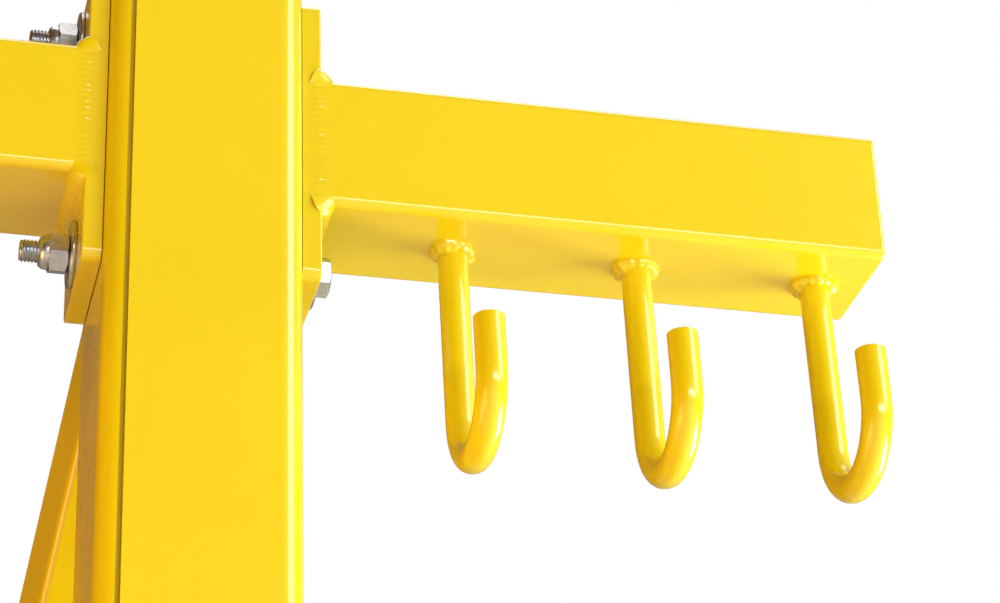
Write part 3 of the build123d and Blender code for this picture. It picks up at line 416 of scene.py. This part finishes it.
def frame_on(axis):
    """Matrix whose local Z is an axis, and whose local X is level unless the axis is upright."""
    axis = axis.normalized()
    hint = X if abs(axis.dot(Z)) > 0.99 else Z
    across = hint.cross(axis).normalized()
    return Matrix((across, axis.cross(across), axis)).transposed().to_4x4()


def around(segments):
    """Equal steps once round, in radians."""
    return [2 * math.pi * k / segments for k in range(segments)]


def add_lathe(bm, profile, place, segments, ring=False):
    """Turns (radius, height) points about the place's Z.  A ring profile closes on itself."""
    loops = []
    for radius, height in profile:
        loops.append([place @ Vector((radius * math.cos(a), radius * math.sin(a), height))
                      for a in around(segments)])
    add_rings(bm, loops, closed=ring)


def add_hex(bm, flats, low, high, place, chamfer_low=False):
    """Hexagon with a turned 30-degree chamfer on its upper edge, and on its lower edge if asked."""
    angles = around(72)
    half = flats / 2

    def reach(angle):
        return half / math.cos((angle + math.pi / 6) % (math.pi / 3) - math.pi / 6)

    def loop(radius_of, height_of):
        return [place @ (Vector((math.cos(a), math.sin(a), 0)) * radius_of(a) + Z * height_of(a))
                for a in angles]

    face = half * 0.95
    drop = math.tan(math.radians(30))
    loops = []
    if chamfer_low:
        loops.append(loop(lambda a: face, lambda a: low))
        loops.append(loop(reach, lambda a: low + (reach(a) - face) * drop))
    else:
        loops.append(loop(reach, lambda a: low))
    loops.append(loop(reach, lambda a: high - (reach(a) - face) * drop))
    loops.append(loop(lambda a: face, lambda a: high))
    add_rings(bm, loops)


def add_thread(bm, radius, low, high, place, pitch):
    """Helical ridge on a bar, with a chamfered far end."""
    segments = 48
    depth = pitch * 0.55
    step = pitch / 7
    count = max(2, int((high - low) / step))
    loops = []
    for i in range(count + 1):
        height = low + (high - low) * i / count
        limit = radius - max(0.0, height - (high - 1.2 * MM)) * 0.9
        loop = []
        for k in range(segments):
            turn = (height / pitch - k / segments) % 1.0
            ridge = radius - depth * min(1.0, abs(2 * turn - 1) * 1.15)
            angle = 2 * math.pi * k / segments
            r = min(limit, ridge)
            loop.append(place @ Vector((r * math.cos(angle), r * math.sin(angle), height)))
        loops.append(loop)
    add_rings(bm, loops)


def add_swept(bm, points, radius_of, segments=24, squash_of=None, hint=X):
    """Round or oval bar along a row of points.  radius_of and squash_of take a share of the way."""
    loops = []
    last = len(points) - 1
    for i, point in enumerate(points):
        way = (points[min(i + 1, last)] - points[max(i - 1, 0)]).normalized()
        across = (hint - way * hint.dot(way)).normalized()
        other = way.cross(across)
        share = i / last
        radius = radius_of(share)
        wide = radius * (squash_of(share) if squash_of else 1.0)
        loops.append([point + across * (wide * math.cos(a)) + other * (radius * math.sin(a))
                      for a in around(segments)])
    add_rings(bm, loops)


def arc(centre, start, axis, angle, steps):
    """Points on an arc that turns start about axis through angle degrees."""
    step = math.radians(angle) / steps
    return [centre + Quaternion(axis, step * k) @ start for k in range(steps + 1)]


# --- weld beads ---
class Toe:
    """One place on a weld: its root, the two surfaces' directions, the outward way, and its size."""

    def __init__(self, root, first, second, out=None, leg=5 * MM, crown=1.2 * MM):
        self.root = root
        self.first = first.normalized()
        self.second = second.normalized()
        self.out = (out or first + second).normalized()
        self.leg = leg
        self.crown = crown

    def mixed(self, other, share):
        return Toe(self.root.lerp(other.root, share), self.first.lerp(other.first, share),
                   self.second.lerp(other.second, share), self.out.lerp(other.out, share),
                   self.leg + (other.leg - self.leg) * share,
                   self.crown + (other.crown - self.crown) * share)


def add_bead(bm, toes, pitch, seed, closed=False, ripple=0.32 * MM):
    """Rippled bead through a row of toes; each ripple is a crescent laid over the one before."""
    across = 8
    row = toes + toes[:1] if closed else toes
    step = pitch / 5
    stations = []
    travel = 0.0
    for one, two in zip(row, row[1:]):
        length = (two.root - one.root).length
        count = max(1, round(length / step))
        for k in range(count):
            stations.append((one.mixed(two, k / count), travel + length * k / count))
        travel += length
    if not closed:
        stations.append((row[-1], travel))
    loops = []
    for index, (toe, way) in enumerate(stations):
        end = 1.0
        if not closed:
            near = min(way, travel - way)
            end = min(1.0, 0.35 + 0.65 * math.sqrt(max(0.0, near) / (toe.leg + 1e-9)))
        wander = noise.noise(Vector((way * 90, seed, 0.0)))
        loop = []
        for j in range(across + 1):
            t = j / across
            hump = 4 * t * (1 - t)
            phase = (way / pitch + 0.5 * hump + 0.35 * wander) % 1.0
            lift = ripple * (phase ** 2 - 0.35) * (0.35 + 0.65 * hump)
            leg = toe.leg * end * (1.0 + 0.10 * wander + 0.05 * math.sin(2 * math.pi * way / pitch))
            spot = toe.root + toe.first * (leg * (1 - t)) + toe.second * (leg * t)
            loop.append(spot + toe.out * ((toe.crown * end * hump + lift) if hump > 0 else 0.0))
        loop.append(toe.root - toe.out * (0.8 * MM))
        loops.append(loop)
    add_rings(bm, loops, closed=closed)


def densified(toes, step):
    """A closed row of toes with more between them, about a step apart."""
    dense = []
    for one, two in zip(toes, toes[1:] + toes[:1]):
        count = max(1, round((two.root - one.root).length / step))
        dense += [one.mixed(two, k / count) for k in range(count)]
    return dense


def rounded_outline(width, height, corner, centre, across, up, corner_steps):
    """(point, normal) pairs round a rounded rectangle."""
    pairs = []
    half_w, half_h = width / 2 - corner, height / 2 - corner
    for quarter, (sx, sy) in enumerate(((1, 1), (-1, 1), (-1, -1), (1, -1))):
        middle = centre + across * (sx * half_w) + up * (sy * half_h)
        for k in range(corner_steps + 1):
            angle = math.pi / 2 * (quarter + k / corner_steps)
            normal = across * math.cos(angle) + up * math.sin(angle)
            pairs.append((middle + normal * corner, normal))
    return pairs


# --- pieces on the arms ---
def arm_weld(side):
    """Fillet weld round the arm where it meets its flange, nearly flush on the front and rear faces."""
    sign = SIGN[side]
    box = arm[side]
    away = X * sign
    root_x = box.low.x if sign > 0 else box.high.x
    centre = Vector((root_x, box.mid.y, box.mid.z))
    toes = []
    for point, normal in rounded_outline(box.size.y, box.size.z, 5 * MM, centre, Y, Z, 6):
        flat = abs(normal.y) ** 2
        along_plate = (normal * (1 - flat) - away * flat).normalized()
        out = (away * (1 - flat) + normal * (0.6 + 0.4 * flat)).normalized()
        leg, crown = (7.0 - 1.5 * flat) * MM, (1.3 - 1.15 * flat) * MM
        toes.append(Toe(point, away, along_plate, out, leg, crown))
    bm = bmesh.new()
    add_bead(bm, densified(toes, 6 * MM), 3.4 * MM, 3.1 * sign, closed=True, ripple=0.42 * MM)
    new_piece("arm_weld_" + side, bm, "yellow_paint", "frame", 40)


def hook_paths(side):
    """Centre lines of the J-hooks, read from the box that the three hooks share."""
    box = Box("arm_hooks_" + side)
    sign = SIGN[side]
    top = arm[side].low.z
    inner = box.low.x if sign > 0 else box.high.x
    outer = box.high.x if sign > 0 else box.low.x
    first = inner + sign * HOOK_COLLAR
    bend = (box.size.y - HOOK_COLLAR - HOOK_ROD) / 2
    tail_y = box.high.y - HOOK_COLLAR
    drop = (top - box.low.z - HOOK_ROD) - bend
    pitch = (outer - sign * HOOK_COLLAR - first) / 2
    paths = []
    for k in range(3):
        start = Vector((first + pitch * k, tail_y, top))
        low = start - Z * drop
        curve = arc(low - Y * bend, Y * bend, X, -180, 40)
        tip = curve[-1] + Z * HOOK_RETURN
        row = [start + (low - start) * (n / 14) for n in range(14)] + curve
        row += [curve[-1] + (tip - curve[-1]) * (n / 5) for n in range(1, 6)]
        turn = Quaternion(Y, -HOOK_LEAN * sign)
        paths.append([start + turn @ (point - start) for point in row])
    return paths


def arm_hook_pieces(side):
    """Round-rod hooks whose cut end turns in on itself, and a weld bead round the top of each."""
    bm = bmesh.new()
    for path in hook_paths(side):
        way = (path[-1] - path[-2]).normalized()
        rows = path[:-1] + [path[-1] - way * back for back in (0.0, 0.63 * MM, 1.26 * MM)]
        count = len(rows)
        radii = [1.0] * (count - 2) + [0.93, 0.80]
        add_swept(bm, rows, lambda share: HOOK_ROD * radii[round(share * (count - 1))], 40)
    piece = new_piece("j_hooks_" + side, bm, "yellow_paint", "frame", 50)
    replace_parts(piece, "arm_hooks_" + side)
    bm = bmesh.new()
    for k, path in enumerate(hook_paths(side)):
        centre = path[0]
        toes = []
        for angle in around(36):
            away = X * math.cos(angle) + Y * math.sin(angle)
            size = (4.6 + 0.9 * math.sin(2 * angle + k) + 0.5 * math.sin(5 * angle + 2 * k)) * MM
            toes.append(Toe(centre + away * HOOK_ROD, away, -Z, away - Z, size, 1.3 * MM))
        add_bead(bm, toes, 3.6 * MM, 5.0 + k, closed=True, ripple=0.55 * MM)
    new_piece("j_hook_welds_" + side, bm, "yellow_paint", "frame", 40)


def bolt_axis(level, sign):
    """Frame at the middle of the mast on a bolt's axis, looking outward along X."""
    nuts = Box("arm_nuts")
    corner = M12_FLATS / math.sqrt(3)
    height = Box("arm_bolts").low.z + corner if level == "low" else nuts.high.z - corner
    return Matrix.Translation(Vector((mast.mid.x, nuts.mid.y, height))) @ frame_on(X * sign)


def washer_profile(flange, seat):
    """Stamped washer between the flange's face and the nut's seat, with a rolled edge."""
    wide = WASHER_RADIUS
    return [(6.5 * MM, flange), (wide - 0.8 * MM, flange), (wide - 0.2 * MM, flange + 0.25 * MM),
            (wide, flange + 0.8 * MM), (wide - 0.1 * MM, seat - 0.7 * MM),
            (wide - 0.6 * MM, seat - 0.1 * MM), (wide - 1.4 * MM, seat), (7.2 * MM, seat),
            (6.5 * MM, seat - 0.5 * MM)]


def collar_profile(hex_top, far):
    """Domed collar of a lock nut, from its hexagon's top to its far end."""
    foot = hex_top - 0.6 * MM
    return [(8.75 * MM, foot), (8.7 * MM, hex_top + 1.2 * MM), (8.4 * MM, hex_top + 2.8 * MM),
            (7.8 * MM, far - 0.8 * MM), (7.2 * MM, far - 0.15 * MM), (6.8 * MM, far),
            (6.1 * MM, far - 0.4 * MM), (6.1 * MM, foot)]


def arm_fasteners():
    """Lock nuts, wide washers, threaded ends, and the lower hexagon and upper countersunk heads."""
    flange = Box("arm_flanges").high.x - mast.mid.x
    seat = Box("arm_washers").high.x - mast.mid.x
    nut_far = mast.mid.x - Box("arm_nuts").low.x
    bolt_far = mast.mid.x - Box("arm_bolts").low.x
    hex_top = seat + M12_NUT
    washers, nuts, bolts = bmesh.new(), bmesh.new(), bmesh.new()
    rounded = washer_profile(flange, seat)
    add_lathe(washers, rounded, bolt_axis("low", 1), 64, ring=True)
    for level, turn in (("low", 9), ("high", 24)):
        place = bolt_axis(level, -1) @ Matrix.Rotation(math.radians(turn), 4, "Z")
        add_lathe(washers, rounded, place, 64, ring=True)
        add_hex(nuts, M12_FLATS, seat + 0.3 * MM, hex_top, place, chamfer_low=True)
        add_lathe(nuts, collar_profile(hex_top, nut_far), place, 64, ring=True)
        add_thread(bolts, M12_RADIUS, nut_far - 3 * MM, bolt_far, place, M12_PITCH)
    head = bolt_axis("low", 1) @ Matrix.Rotation(math.radians(12), 4, "Z")
    add_hex(bolts, M12_FLATS, seat, Box("arm_bolts").high.x - mast.mid.x, head)
    for level, shank_end in (("low", seat - 1 * MM), ("high", flange - 6 * MM)):
        shank = [(M12_RADIUS, -seat - 9 * MM), (M12_RADIUS, shank_end)]
        add_lathe(bolts, shank, bolt_axis(level, 1), 48)
    cone = [(M12_RADIUS, flange - 6.5 * MM), (11.2 * MM, flange - 0.4 * MM),
            (11.0 * MM, flange - 0.1 * MM), (4.0 * MM, flange - 0.1 * MM),
            (4.0 * MM, flange - 4.0 * MM)]
    add_lathe(bolts, cone, bolt_axis("high", 1), 64)
    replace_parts(new_piece("flange_washers", washers, "zinc_steel", "frame", 30), "arm_washers")
    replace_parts(new_piece("flange_lock_nuts", nuts, "zinc_steel", "frame", 30), "arm_nuts")
    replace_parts(new_piece("flange_bolts", bolts, "zinc_steel", "frame", 30), "arm_bolts")


def arm_pieces():
    for side in ("right", "left"):
        arm_weld(side)
        arm_hook_pieces(side)
    arm_fasteners()


# --- welds on the rest of the frame ---
def ring_weld(name, centre, across, up, size, corner, leg):
    """Fillet weld round a square tube that stands on a plate; across x up points along the tube."""
    away = across.cross(up)
    toes = []
    for point, normal in rounded_outline(size[0], size[1], corner, centre, across, up, 5):
        toes.append(Toe(point, away, normal, away + normal, leg, 0.9 * MM))
    bm = bmesh.new()
    seed = centre.x * 31 + centre.z * 17
    add_bead(bm, densified(toes, 8 * MM), 4.0 * MM, seed, closed=True)
    new_piece(name, bm, "yellow_paint", "frame", 40)


def line_welds(name, lines, leg):
    """Straight fillet welds, each given as (start, end, first surface's way, second surface's way)."""
    bm = bmesh.new()
    for k, (start, end, first, second) in enumerate(lines):
        toes = [Toe(start.lerp(end, n / 8), first, second, first + second, leg, 0.8 * MM)
                for n in range(9)]
        add_bead(bm, toes, 3.6 * MM, k * 1.7)
    new_piece(name, bm, "yellow_paint", "frame", 40)


def gusset_welds():
    """Upright bead on the mast and level bead on the foot plate, at each gusset's outer face."""
    gusset = Box("mast_gussets")
    lines = []
    for sign in (-1, 1):
        wall = mast.mid.x + sign * mast.size.x / 2
        edge = gusset.high.x if sign > 0 else gusset.low.x
        for side, y in ((-1, gusset.low.y), (1, gusset.high.y)):
            lines.append((Vector((wall, y, gusset.low.z + 8 * MM)),
                          Vector((wall, y, gusset.high.z - 4 * MM)), X * sign, Y * side))
            lines.append((Vector((wall + sign * 9 * MM, y, gusset.low.z)),
                          Vector((edge - sign * 3 * MM, y, gusset.low.z)), Z, Y * side))
    line_welds("gusset_welds", lines, 4 * MM)


def frame_welds():
    foot = Box("mast_foot_plate")
    base = Vector((mast.mid.x, mast.mid.y, foot.high.z))
    ring_weld("mast_foot_weld", base, X, Y, (mast.size.x, mast.size.y), 12 * MM, 6 * MM)
    gusset_welds()
    head, bracket = Box("mast_head"), Box("ram_bracket")
    head_lines, bracket_lines = [], []
    for sign in (-1, 1):
        x = mast.mid.x + sign * mast.size.x / 2
        head_lines.append((Vector((x, head.mid.y - 26 * MM, head.low.z)),
                           Vector((x, head.mid.y + 26 * MM, head.low.z)), X * sign, -Z))
        x = bracket.high.x if sign > 0 else bracket.low.x
        bracket_lines.append((Vector((x, mast.high.y, bracket.low.z + 2 * MM)),
                              Vector((x, mast.high.y, bracket.high.z - 4 * MM)), X * sign, Y))
    line_welds("head_cheek_welds", head_lines, 5 * MM)
    line_welds("ram_bracket_welds", bracket_lines, 5 * MM)
    rails = Box("side_rails")
    square = (rails.size.z, rails.size.z)
    for side, sign in SIGN.items():
        x = (rails.high.x if sign > 0 else rails.low.x) - sign * rails.size.z / 2
        rear, front = Vector((x, rails.low.y, rails.mid.z)), Vector((x, rails.high.y, rails.mid.z))
        ring_weld("rail_rear_weld_" + side, rear, Z, X, square, 6 * MM, 4 * MM)
        ring_weld("rail_front_weld_" + side, front, X, Z, square, 6 * MM, 4 * MM)


# --- wheels and casters ---
def mirrored(half_profile):
    """A profile followed by its mirror image below the middle plane, back to where it began."""
    return half_profile + [(radius, -height) for radius, height in reversed(half_profile)]


def wheel_pieces(node, joint, body):
    """Moulded wheel with a crowned tread and ribbed web, and a pressed bearing in its hub."""
    box = Box(node)
    radius, half = box.size.z / 2, box.size.x / 2
    place = Matrix.Translation(joint_place(joint)) @ frame_on(X)
    web, bore = 8.6 * MM, 6.3 * MM
    face = [(9.5 * MM, half - 0.2 * MM), (18.5 * MM, half - 0.2 * MM), (20.0 * MM, half - 1.6 * MM),
            (20.6 * MM, web), (37.4 * MM, web), (38.6 * MM, half - 2.2 * MM),
            (40.0 * MM, half - 1.2 * MM), (radius - 4.5 * MM, half - 1.2 * MM),
            (radius - 2.2 * MM, half - 2.2 * MM), (radius - 0.8 * MM, half - 4.6 * MM),
            (radius, half - 8.5 * MM)]
    bm = bmesh.new()
    add_lathe(bm, mirrored(face), place, 96, ring=True)
    for angle in around(8):
        turn = place @ Matrix.Rotation(angle, 4, "Z")
        for side in (-1, 1):
            ring = [Vector((r, w * 1.6 * MM, side * h)) for r, w, h in (
                (19.5 * MM, -1, 7.5 * MM), (39.0 * MM, -1, 7.5 * MM), (39.0 * MM, -0.6, 11.6 * MM),
                (19.5 * MM, -0.6, 12.6 * MM))]
            other = [Vector((p.x, -p.y, p.z)) for p in ring]
            add_rings(bm, [[turn @ p for p in ring], [turn @ p for p in other]])
    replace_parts(new_piece("tyre_" + node, bm, "wheel_nylon", body, 40), node)
    bm = bmesh.new()
    race = [(bore, half - 0.9 * MM), (8.6 * MM, half - 0.9 * MM), (9.0 * MM, half - 1.6 * MM),
            (9.6 * MM, half - 0.7 * MM), (13.0 * MM, half + 0.1 * MM), (14.6 * MM, half),
            (15.2 * MM, half - 0.8 * MM)]
    add_lathe(bm, mirrored(race), place, 64, ring=True)
    new_piece("bearing_" + node, bm, "zinc_steel", body, 30)


def rolling_pieces():
    for side in SIGN:
        wheel_pieces("caster_wheel_" + side, "caster_wheel_spin_" + side, "caster_wheel_" + side)
        wheel_pieces("leg_wheel_" + side, "leg_wheel_spin_" + side, "leg_wheel_" + side)
        fork = Box("caster_fork_" + side)
        swivel = joint_place("caster_swivel_" + side)
        bm = bmesh.new()
        top = fork.high.z
        race = [(17 * MM, top - 5.5 * MM), (24 * MM, top - 5.5 * MM), (26.5 * MM, top - 4.4 * MM),
                (28 * MM, top - 2.2 * MM), (27.4 * MM, top - 0.6 * MM), (25 * MM, top - 0.1 * MM),
                (17 * MM, top - 0.1 * MM)]
        add_lathe(bm, race, Matrix.Translation(Vector((swivel.x, swivel.y, 0))), 64, ring=True)
        new_piece("swivel_race_" + side, bm, "zinc_steel", "caster_" + side, 30)


def beam_plugs():
    """Plastic plugs that close the open ends of the rear cross-beam."""
    beam = Box("rear_crossbeam")
    steps = ((5.5, -14.0), (5.2, -1.0), (1.2, -0.2), (0.8, 0.6), (1.6, 2.0), (6.0, 3.0))
    for side, sign in SIGN.items():
        end = Vector((beam.high.x if sign > 0 else beam.low.x, beam.mid.y, beam.mid.z))
        rings = []
        for inset, out in steps:
            width, height = (size - 2 * inset * MM for size in (beam.size.y, beam.size.z))
            corner = max(1.0, 6.0 - inset) * MM
            loop = rounded_outline(width, height, corner, end + X * (sign * out * MM), Y, Z, 4)
            rings.append([point for point, _ in loop])
        bm = bmesh.new()
        add_rings(bm, rings)
        new_piece("beam_plug_" + side, bm, "wheel_nylon", "frame", 30)


# --- ram, pump and hook ---
def grip_pieces():
    """Ribbed rubber sleeve on the pump handle."""
    place = Matrix.Translation(joint_place("pump_stroke")) @ frame_on(ram_handle_way())
    reach = 424 * MM
    outer = 16.5 * MM
    proud, groove = outer + 0.4 * MM, outer - 0.9 * MM
    profile = [(12.7 * MM, reach - 118 * MM), (15.2 * MM, reach - 119 * MM),
               (outer, reach - 117.5 * MM)]
    for k in range(18):
        low = reach - 114 * MM + k * 5.6 * MM
        profile += [(proud, low), (proud, low + 3.0 * MM), (groove, low + 3.8 * MM),
                    (groove, low + 4.9 * MM)]
    profile += [(proud, reach - 12 * MM), (outer, reach - 5 * MM),
                (outer - 2.5 * MM, reach - 1.2 * MM), (outer - 6 * MM, reach), (1.0 * MM, reach)]
    bm = bmesh.new()
    add_lathe(bm, profile, place, 64)
    new_piece("handle_grip", bm, "grip_rubber", "handle", 40)


def ram_handle_way():
    """Direction of the pump handle: the ram's own direction leant forward by 5 degrees."""
    return Quaternion(X, math.radians(-5)) @ joint_axis("ram_extend")


def clip_wire(name, head, radius, body):
    """Spring clip: a wire ring round a pin's end with its straight leg through the pin."""
    turn = 5 * MM
    top, foot = head + Z * (radius + 9 * MM), head - Z * (radius + turn)
    leg = [top.lerp(foot, n / 6) for n in range(7)]
    ring = arc(foot + Y * turn, -Y * turn, X, 200, 20)[1:]
    bow = arc(head, ring[-1] - head, X, 125, 24)[1:]
    bm = bmesh.new()
    add_swept(bm, leg + ring + bow, lambda share: 1.3 * MM, 12)
    new_piece(name, bm, "zinc_steel", body, 50)


def hook_row(origin):
    """Centre line of the load hook: a straight shank, a reversed neck and a wide bowl."""
    neck_radius, neck_turn, bowl_radius, bowl_turn = 24 * MM, -52, 31 * MM, 236
    neck_centre = origin - Y * neck_radius - Z * (22 * MM)
    neck = arc(neck_centre, Y * neck_radius, X, neck_turn, 12)
    heading = Quaternion(X, math.radians(neck_turn)) @ (-Z)
    bowl_centre = neck[-1] + Quaternion(X, math.radians(90)) @ heading * bowl_radius
    bowl = arc(bowl_centre, neck[-1] - bowl_centre, X, bowl_turn, 56)
    shank = [origin - Z * (n * 2.2 * MM) for n in range(-2, 10)]
    return shank + neck + bowl[1:]


def hook_thickness(share):
    """Radius of the load hook: it swells in the bowl and tapers to a rounded point."""
    swell = 1.0 + 0.16 * math.exp(-((share - 0.62) / 0.17) ** 2)
    if share > 0.8:
        swell *= 1.0 - 0.30 * ((share - 0.8) / 0.2) ** 1.5
    if share > 0.965:
        swell *= math.sqrt(max(0.04, 1 - ((share - 0.965) / 0.036) ** 2))
    return 8.9 * MM * swell


def load_hook_pieces():
    """Forged hook with its collar and shank, and the nut and thread above the yoke."""
    pivot = joint_place("hook_swivel")
    shank = 9 * MM
    row = hook_row(pivot)
    for _ in range(4):
        row.append(row[-1] + (row[-1] - row[-2]).normalized() * (2.0 * MM))
    bm = bmesh.new()
    add_swept(bm, row, hook_thickness, 40,
              lambda share: 1.0 - 0.12 * math.exp(-((share - 0.62) / 0.2) ** 2))
    place = Matrix.Translation(pivot)
    collar = [(shank, -9 * MM), (12.5 * MM, -7 * MM), (14 * MM, -5 * MM), (14 * MM, -1.2 * MM),
              (13.2 * MM, -0.4 * MM), (shank, -0.4 * MM)]
    add_lathe(bm, collar, place, 64)
    add_lathe(bm, [(shank, -4 * MM), (shank, 15 * MM)], place, 48)
    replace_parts(new_piece("forged_hook", bm, "forged_steel", "hook", 45), "load_hook")
    bm = bmesh.new()
    add_hex(bm, 27 * MM, 14.3 * MM, 28 * MM, place, chamfer_low=True)
    add_thread(bm, shank, 26 * MM, Box("load_hook").high.z - pivot.z, place, 2 * MM)
    new_piece("hook_nut", bm, "zinc_steel", "hook", 30)


def latch_spring():
    """Small torsion spring wound round the latch's pivot."""
    centre = joint_place("hook_latch_open")
    steps = 3 * 16
    coil, width = 4.3 * MM, 4.6 * MM
    row = []
    for k in range(steps + 1):
        angle = 2 * math.pi * k / 16
        row.append(centre + X * ((k / steps - 0.5) * width)
                   + Y * (coil * math.cos(angle)) + Z * (coil * math.sin(angle)))
    bm = bmesh.new()
    add_swept(bm, row, lambda share: 0.6 * MM, 8, hint=Vector((1, 0.01, 0)))
    new_piece("latch_spring", bm, "zinc_steel", "latch", 50)


def ram_pieces():
    grip_pieces()
    clips = (("ram_foot_pin", "foot_pin_clip", "frame"), ("ram_top_pin", "top_pin_clip", "boom"))
    for node, name, body in clips:
        pin = Box(node)
        clip_wire(name, Vector((pin.low.x + 3.4 * MM, pin.mid.y, pin.mid.z)), 10 * MM, body)
    load_hook_pieces()
    latch_spring()


make_camera()
make_view()
make_world()
make_lights()
make_floor()
paint_cad_nodes()
arm_pieces()
frame_welds()
rolling_pieces()
beam_plugs()
ram_pieces()
